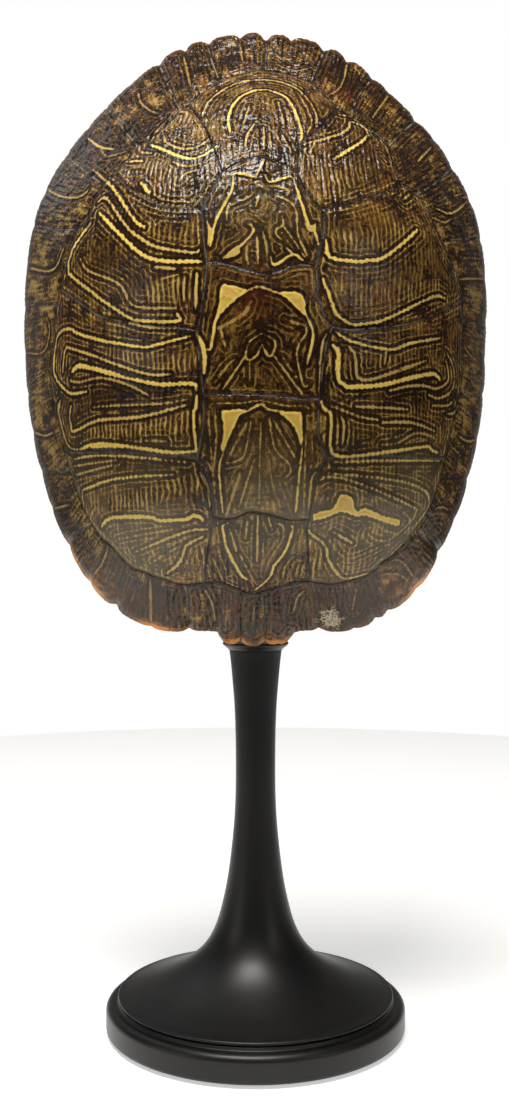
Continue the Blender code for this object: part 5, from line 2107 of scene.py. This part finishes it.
@dataclass
class Armature:
    """Steel that carries the shell: a bent rod, a plate on the spine and its two screws."""

    rod_radius: float = 3.0
    rod_foot: float = 157.9
    bend: float = 20.0
    plate_height: float = 320.0
    plate: tuple[float, float, float] = (16.0, 2.0, 52.0)
    plate_front: float = -70.8
    screw_spacing: float = 38.0
    head_radius: float = 3.4
    shank: float = 1.4
    bite: float = 5.0
    point: float = 1.5
    crown: tuple[float, float] = (2.2, -1.2)
    slot: tuple[float, float, float] = (0.9, 2.4, 9.0)
    slot_height: float = 2.6
    weld: tuple[float, float] = (1.5, 1.6)
    corner_round: float = 3.0
    edge_round: float = 0.4
    clear: float = 0.3

    def build(self, black: Material, bright: Material) -> None:
        """Builds and dresses the rod, the plate and the screws.

        Args:
            black: Finish of the rod and the plate.
            bright: Finish of the screws.
        """
        settle(self._rod(), black, "black_steel", "support_rod")
        settle(self._plate(), black, "black_steel", "spine_bracket")
        settle(self._screws(bright), bright, "screw_steel", "bracket_screw_upper", "bracket_screw_lower")

    def _rod(self) -> Piece:
        """Bends the rod and rounds the weld where it meets the plate.

        Returns:
            The rod.
        """
        end = self.plate_front + self.plate[1] + self.clear
        straight = self.plate_height - self.bend
        route: Profile = [(0.0, h) for h in np.linspace(self.rod_foot, straight - 1, 40)]
        route += arc((-self.bend, straight), self.bend, 0, 90, 28)
        route += [(y, self.plate_height) for y in np.linspace(-self.bend - 1, end, 24)]
        path = np.array([(0.0, y, h) for y, h in route])
        radius = np.full(len(path), self.rod_radius)
        radius[0] -= 0.4
        away = np.abs(path[:, 1] - end)
        rise, reach = self.weld
        bead = np.where(path[:, 2] > straight, rise * np.exp(-((away / reach) ** 2)), 0.0)
        return outward(mesh_piece("bent_rod", *sweep(path, radius + bead, 28)))

    def _plate(self) -> Piece:
        """Makes the flat plate with rounded edges and a hole for each screw.

        Returns:
            The plate.
        """
        form = bmesh.new()
        bmesh.ops.create_cube(form, size=1.0)
        for vert in form.verts:
            vert.co = [vert.co[k] * self.plate[k] * MM for k in range(3)]
        corners = [e for e in form.edges if abs(e.verts[0].co.y - e.verts[1].co.y) > 1e-6]
        radius = self.corner_round * MM
        bmesh.ops.bevel(form, geom=corners, offset=radius, segments=6, profile=0.5, affect="EDGES")
        faces = [e for e in form.edges if len(e.link_faces) == 2 and e.calc_face_angle(0) > 1.2]
        radius = self.edge_round * MM
        bmesh.ops.bevel(form, geom=faces, offset=radius, segments=3, profile=0.5, affect="EDGES")
        middle = self.plate_front + self.plate[1] / 2
        for vert in form.verts:
            vert.co.y += middle * MM
            vert.co.z += self.plate_height * MM
        mesh = bpy.data.meshes.new("spine_plate")
        form.to_mesh(mesh)
        form.free()
        made = linked("spine_plate", mesh)
        for side in (-1, 1):
            height = self.plate_height + side * self.screw_spacing / 2
            path = np.array([(0.0, middle + y, height) for y in (-4.0, 0.0, 4.0)])
            cut_out(made, outward(mesh_piece("drill", *sweep(path, np.full(3, self.shank + self.clear), 24))))
        return creased(made, 30.0)

    def _screws(self, finish: Material) -> Piece:
        """Sets round-headed slotted screws, one above the rod and one under it.

        Args:
            finish: Their steel.

        Returns:
            Both screws as one piece.
        """
        under = self.plate[1] + self.clear
        rise, dip = self.crown
        profile: Profile = [(0.0, under + rise), *arc((0.0, under + dip), self.head_radius, 86, 22, 10)]
        profile += [(self.head_radius, under + 0.1), (self.head_radius, under), (self.shank, under)]
        profile += [(self.shank, -self.bite + self.point), (0.0, -self.bite)]
        points, faces = lathe(profile, 40)
        points = np.column_stack([points[:, 0], points[:, 2], -points[:, 1]])
        one = outward(mesh_piece("one_screw", points, faces))
        form = bmesh.new()
        bmesh.ops.create_cube(form, size=1.0)
        wide, deep, long = self.slot
        for vert in form.verts:
            x, y, z = vert.co
            vert.co = (x * wide * MM, (under + self.slot_height + y * deep) * MM, z * long * MM)
        slot = bpy.data.meshes.new("slot")
        form.to_mesh(slot)
        form.free()
        cut_out(one, linked("slot", slot))
        tree = Tree("plate_screws")
        count = tree.size("Screws", "NodeSocketInt", 2)
        lower = (0.0, self.plate_front * MM, (self.plate_height - self.screw_spacing / 2) * MM)
        first = tree.size("First", "NodeSocketVector", lower)
        step = tree.size("Step", "NodeSocketVector", (0.0, 0.0, self.screw_spacing * MM))
        shape = tree.size("Screw", "NodeSocketObject", one)
        dress = tree.size("Material", "NodeSocketMaterial", finish)
        row = tree.out("GeometryNodeMeshLine", {}, {"Count": count, "Start Location": first, "Offset": step})
        info = tree.out("GeometryNodeObjectInfo", {}, {"Object": shape}, "Geometry")
        placed = tree.out("GeometryNodeInstanceOnPoints", {}, {"Points": row, "Instance": info})
        tree.finish(placed, dress)
        made = tree.run(mesh_piece("screw_row", np.zeros((1, 3)), []), "plate_screws")
        bpy.data.objects.remove(one, do_unlink=True)
        return creased(made, 35.0)


# ---- the studio


@dataclass(frozen=True)
class Lamp:
    """One soft rectangular light."""

    name: str
    place: tuple[float, float, float]
    aim: tuple[float, float, float]
    size: tuple[float, float]
    radiance: float
    colour: tuple[float, float, float]

    def build(self) -> None:
        """Adds the light to the scene."""
        light = bpy.data.lights.new(self.name, "AREA")
        light.shape = "RECTANGLE"
        light.size, light.size_y = self.size
        light.energy = self.radiance * math.pi * self.size[0] * self.size[1]
        light.color = self.colour
        made = linked(self.name, light)
        made.location = self.place
        gaze = [b - a for a, b in zip(self.place, self.aim)]
        made.rotation_euler = Vector(gaze).to_track_quat("-Z", "Y").to_euler()


@dataclass
class Studio:
    """Camera, floor, lights and surroundings."""

    camera_place: tuple[float, float, float] = (-0.0005, -0.595, 0.2275)
    lens: float = 40.7
    sensor: float = 36.0
    floor_radius: float = 0.68
    floor_back: float = 0.32
    floor_drop: float = 0.0002
    floor_sides: int = 96
    lamps: tuple[Lamp, ...] = (
        Lamp("top_softbox", (-0.12, -0.44, 1.32), (0.0, 0.0, 0.2), (0.6, 0.42), 24.0, (1.0, 0.98, 0.94)),
        Lamp("back_softbox", (-0.9, 0.8, 1.3), (0.0, 0.1, 0.3), (0.8, 0.7), 0.7, (0.95, 0.98, 1.0)),
        Lamp("left_fill", (-1.6, -0.9, 0.6), (0.0, 0.0, 0.33), (0.9, 0.7), 1.6, (1.0, 0.98, 0.95)),
        Lamp("right_fill", (1.5, -1.2, 0.9), (0.0, 0.0, 0.33), (0.8, 0.7), 1.7, (1.0, 0.98, 0.95)),
    )
    dark: float = 0.06
    ceiling: float = 0.05
    backdrop: float = 0.16

    def build(self) -> None:
        """Builds everything that is not the object."""
        self._camera()
        self._floor()
        self._surroundings()
        for lamp in self.lamps:
            lamp.build()

    def _camera(self) -> None:
        """Level camera at the photograph's distance, looking along +Y."""
        eye = bpy.data.cameras.new("front_camera")
        eye.lens = self.lens
        eye.sensor_width = self.sensor
        eye.clip_start, eye.clip_end = 0.05, 40.0
        made = linked("front_camera", eye)
        made.location = self.camera_place
        made.rotation_euler = (math.pi / 2, 0.0, 0.0)
        bpy.context.scene.camera = made

    def _floor(self) -> None:
        """Pale floor that fades into the surroundings."""
        turns = np.linspace(0, 2 * math.pi, self.floor_sides, endpoint=False)
        points = np.column_stack([np.cos(turns), np.sin(turns), 0 * turns]) * self.floor_radius / MM
        points += (0.0, self.floor_back / MM, -self.floor_drop / MM)
        floor = mesh_piece("studio_floor", points, [range(self.floor_sides)])
        floor.data.materials.append(FloorFinish().build("studio_floor"))

    def _surroundings(self) -> None:
        """Dim room, a little lighter overhead and behind, that reads as white to the camera."""
        world = bpy.data.worlds.new("studio")
        bpy.context.scene.world = world
        g = Graph(world)
        gaze = g.out("ShaderNodeTexCoord", which="Generated")
        side, back, up = (g.along(gaze, axis) for axis in range(3))
        room = self.dark + self.ceiling * g.step(up, 0.2, 0.8)
        room = room + self.backdrop * g.step(back - side * 0.3, 0.2, 0.9) * g.step(up, 0.7, 0.35)
        light = g.tree.nodes["Background"]
        g.feed(light.inputs["Color"], (1.0, 0.98, 0.94, 1.0))
        g.feed(light.inputs["Strength"], room)
        seen = g.out("ShaderNodeBackground", {}, {"Color": WHITE, "Strength": 1.0})
        ray = g.out("ShaderNodeLightPath", which="Is Camera Ray")
        both = g.out("ShaderNodeMixShader", {}, {0: ray, 1: Wire(g, light.outputs[0]), 2: seen})
        g.feed(g.tree.nodes["World Output"].inputs[0], both)


def main() -> None:
    """Builds the shell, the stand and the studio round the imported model."""
    logging.basicConfig(level=logging.INFO, format="%(message)s")
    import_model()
    bpy.context.scene.view_settings.view_transform = "Standard"
    Studio().build()
    shell = Carapace(cells=500)
    surface = shell.surface()
    shell.scutes(surface, HornFinish().build("lacquered_horn"))
    bone = BoneFinish()
    shell.bone(bone.build("dry_bone_plates", sutured=True))
    shell.spine(bone.build("dry_bone", sutured=False))
    TurnedStand().build(LacquerFinish().build("satin_black_lacquer"), FeltFinish().build("black_felt"))
    Armature().build(
        SteelFinish(srgb("#141414"), srgb("#2c2a28"), 0.5, 0.42).build("black_painted_steel"),
        SteelFinish(srgb("#b5b2ab"), srgb("#8b857a"), 1.0, 0.3).build("bright_steel"),
    )


if __name__ == "__main__":
    main()
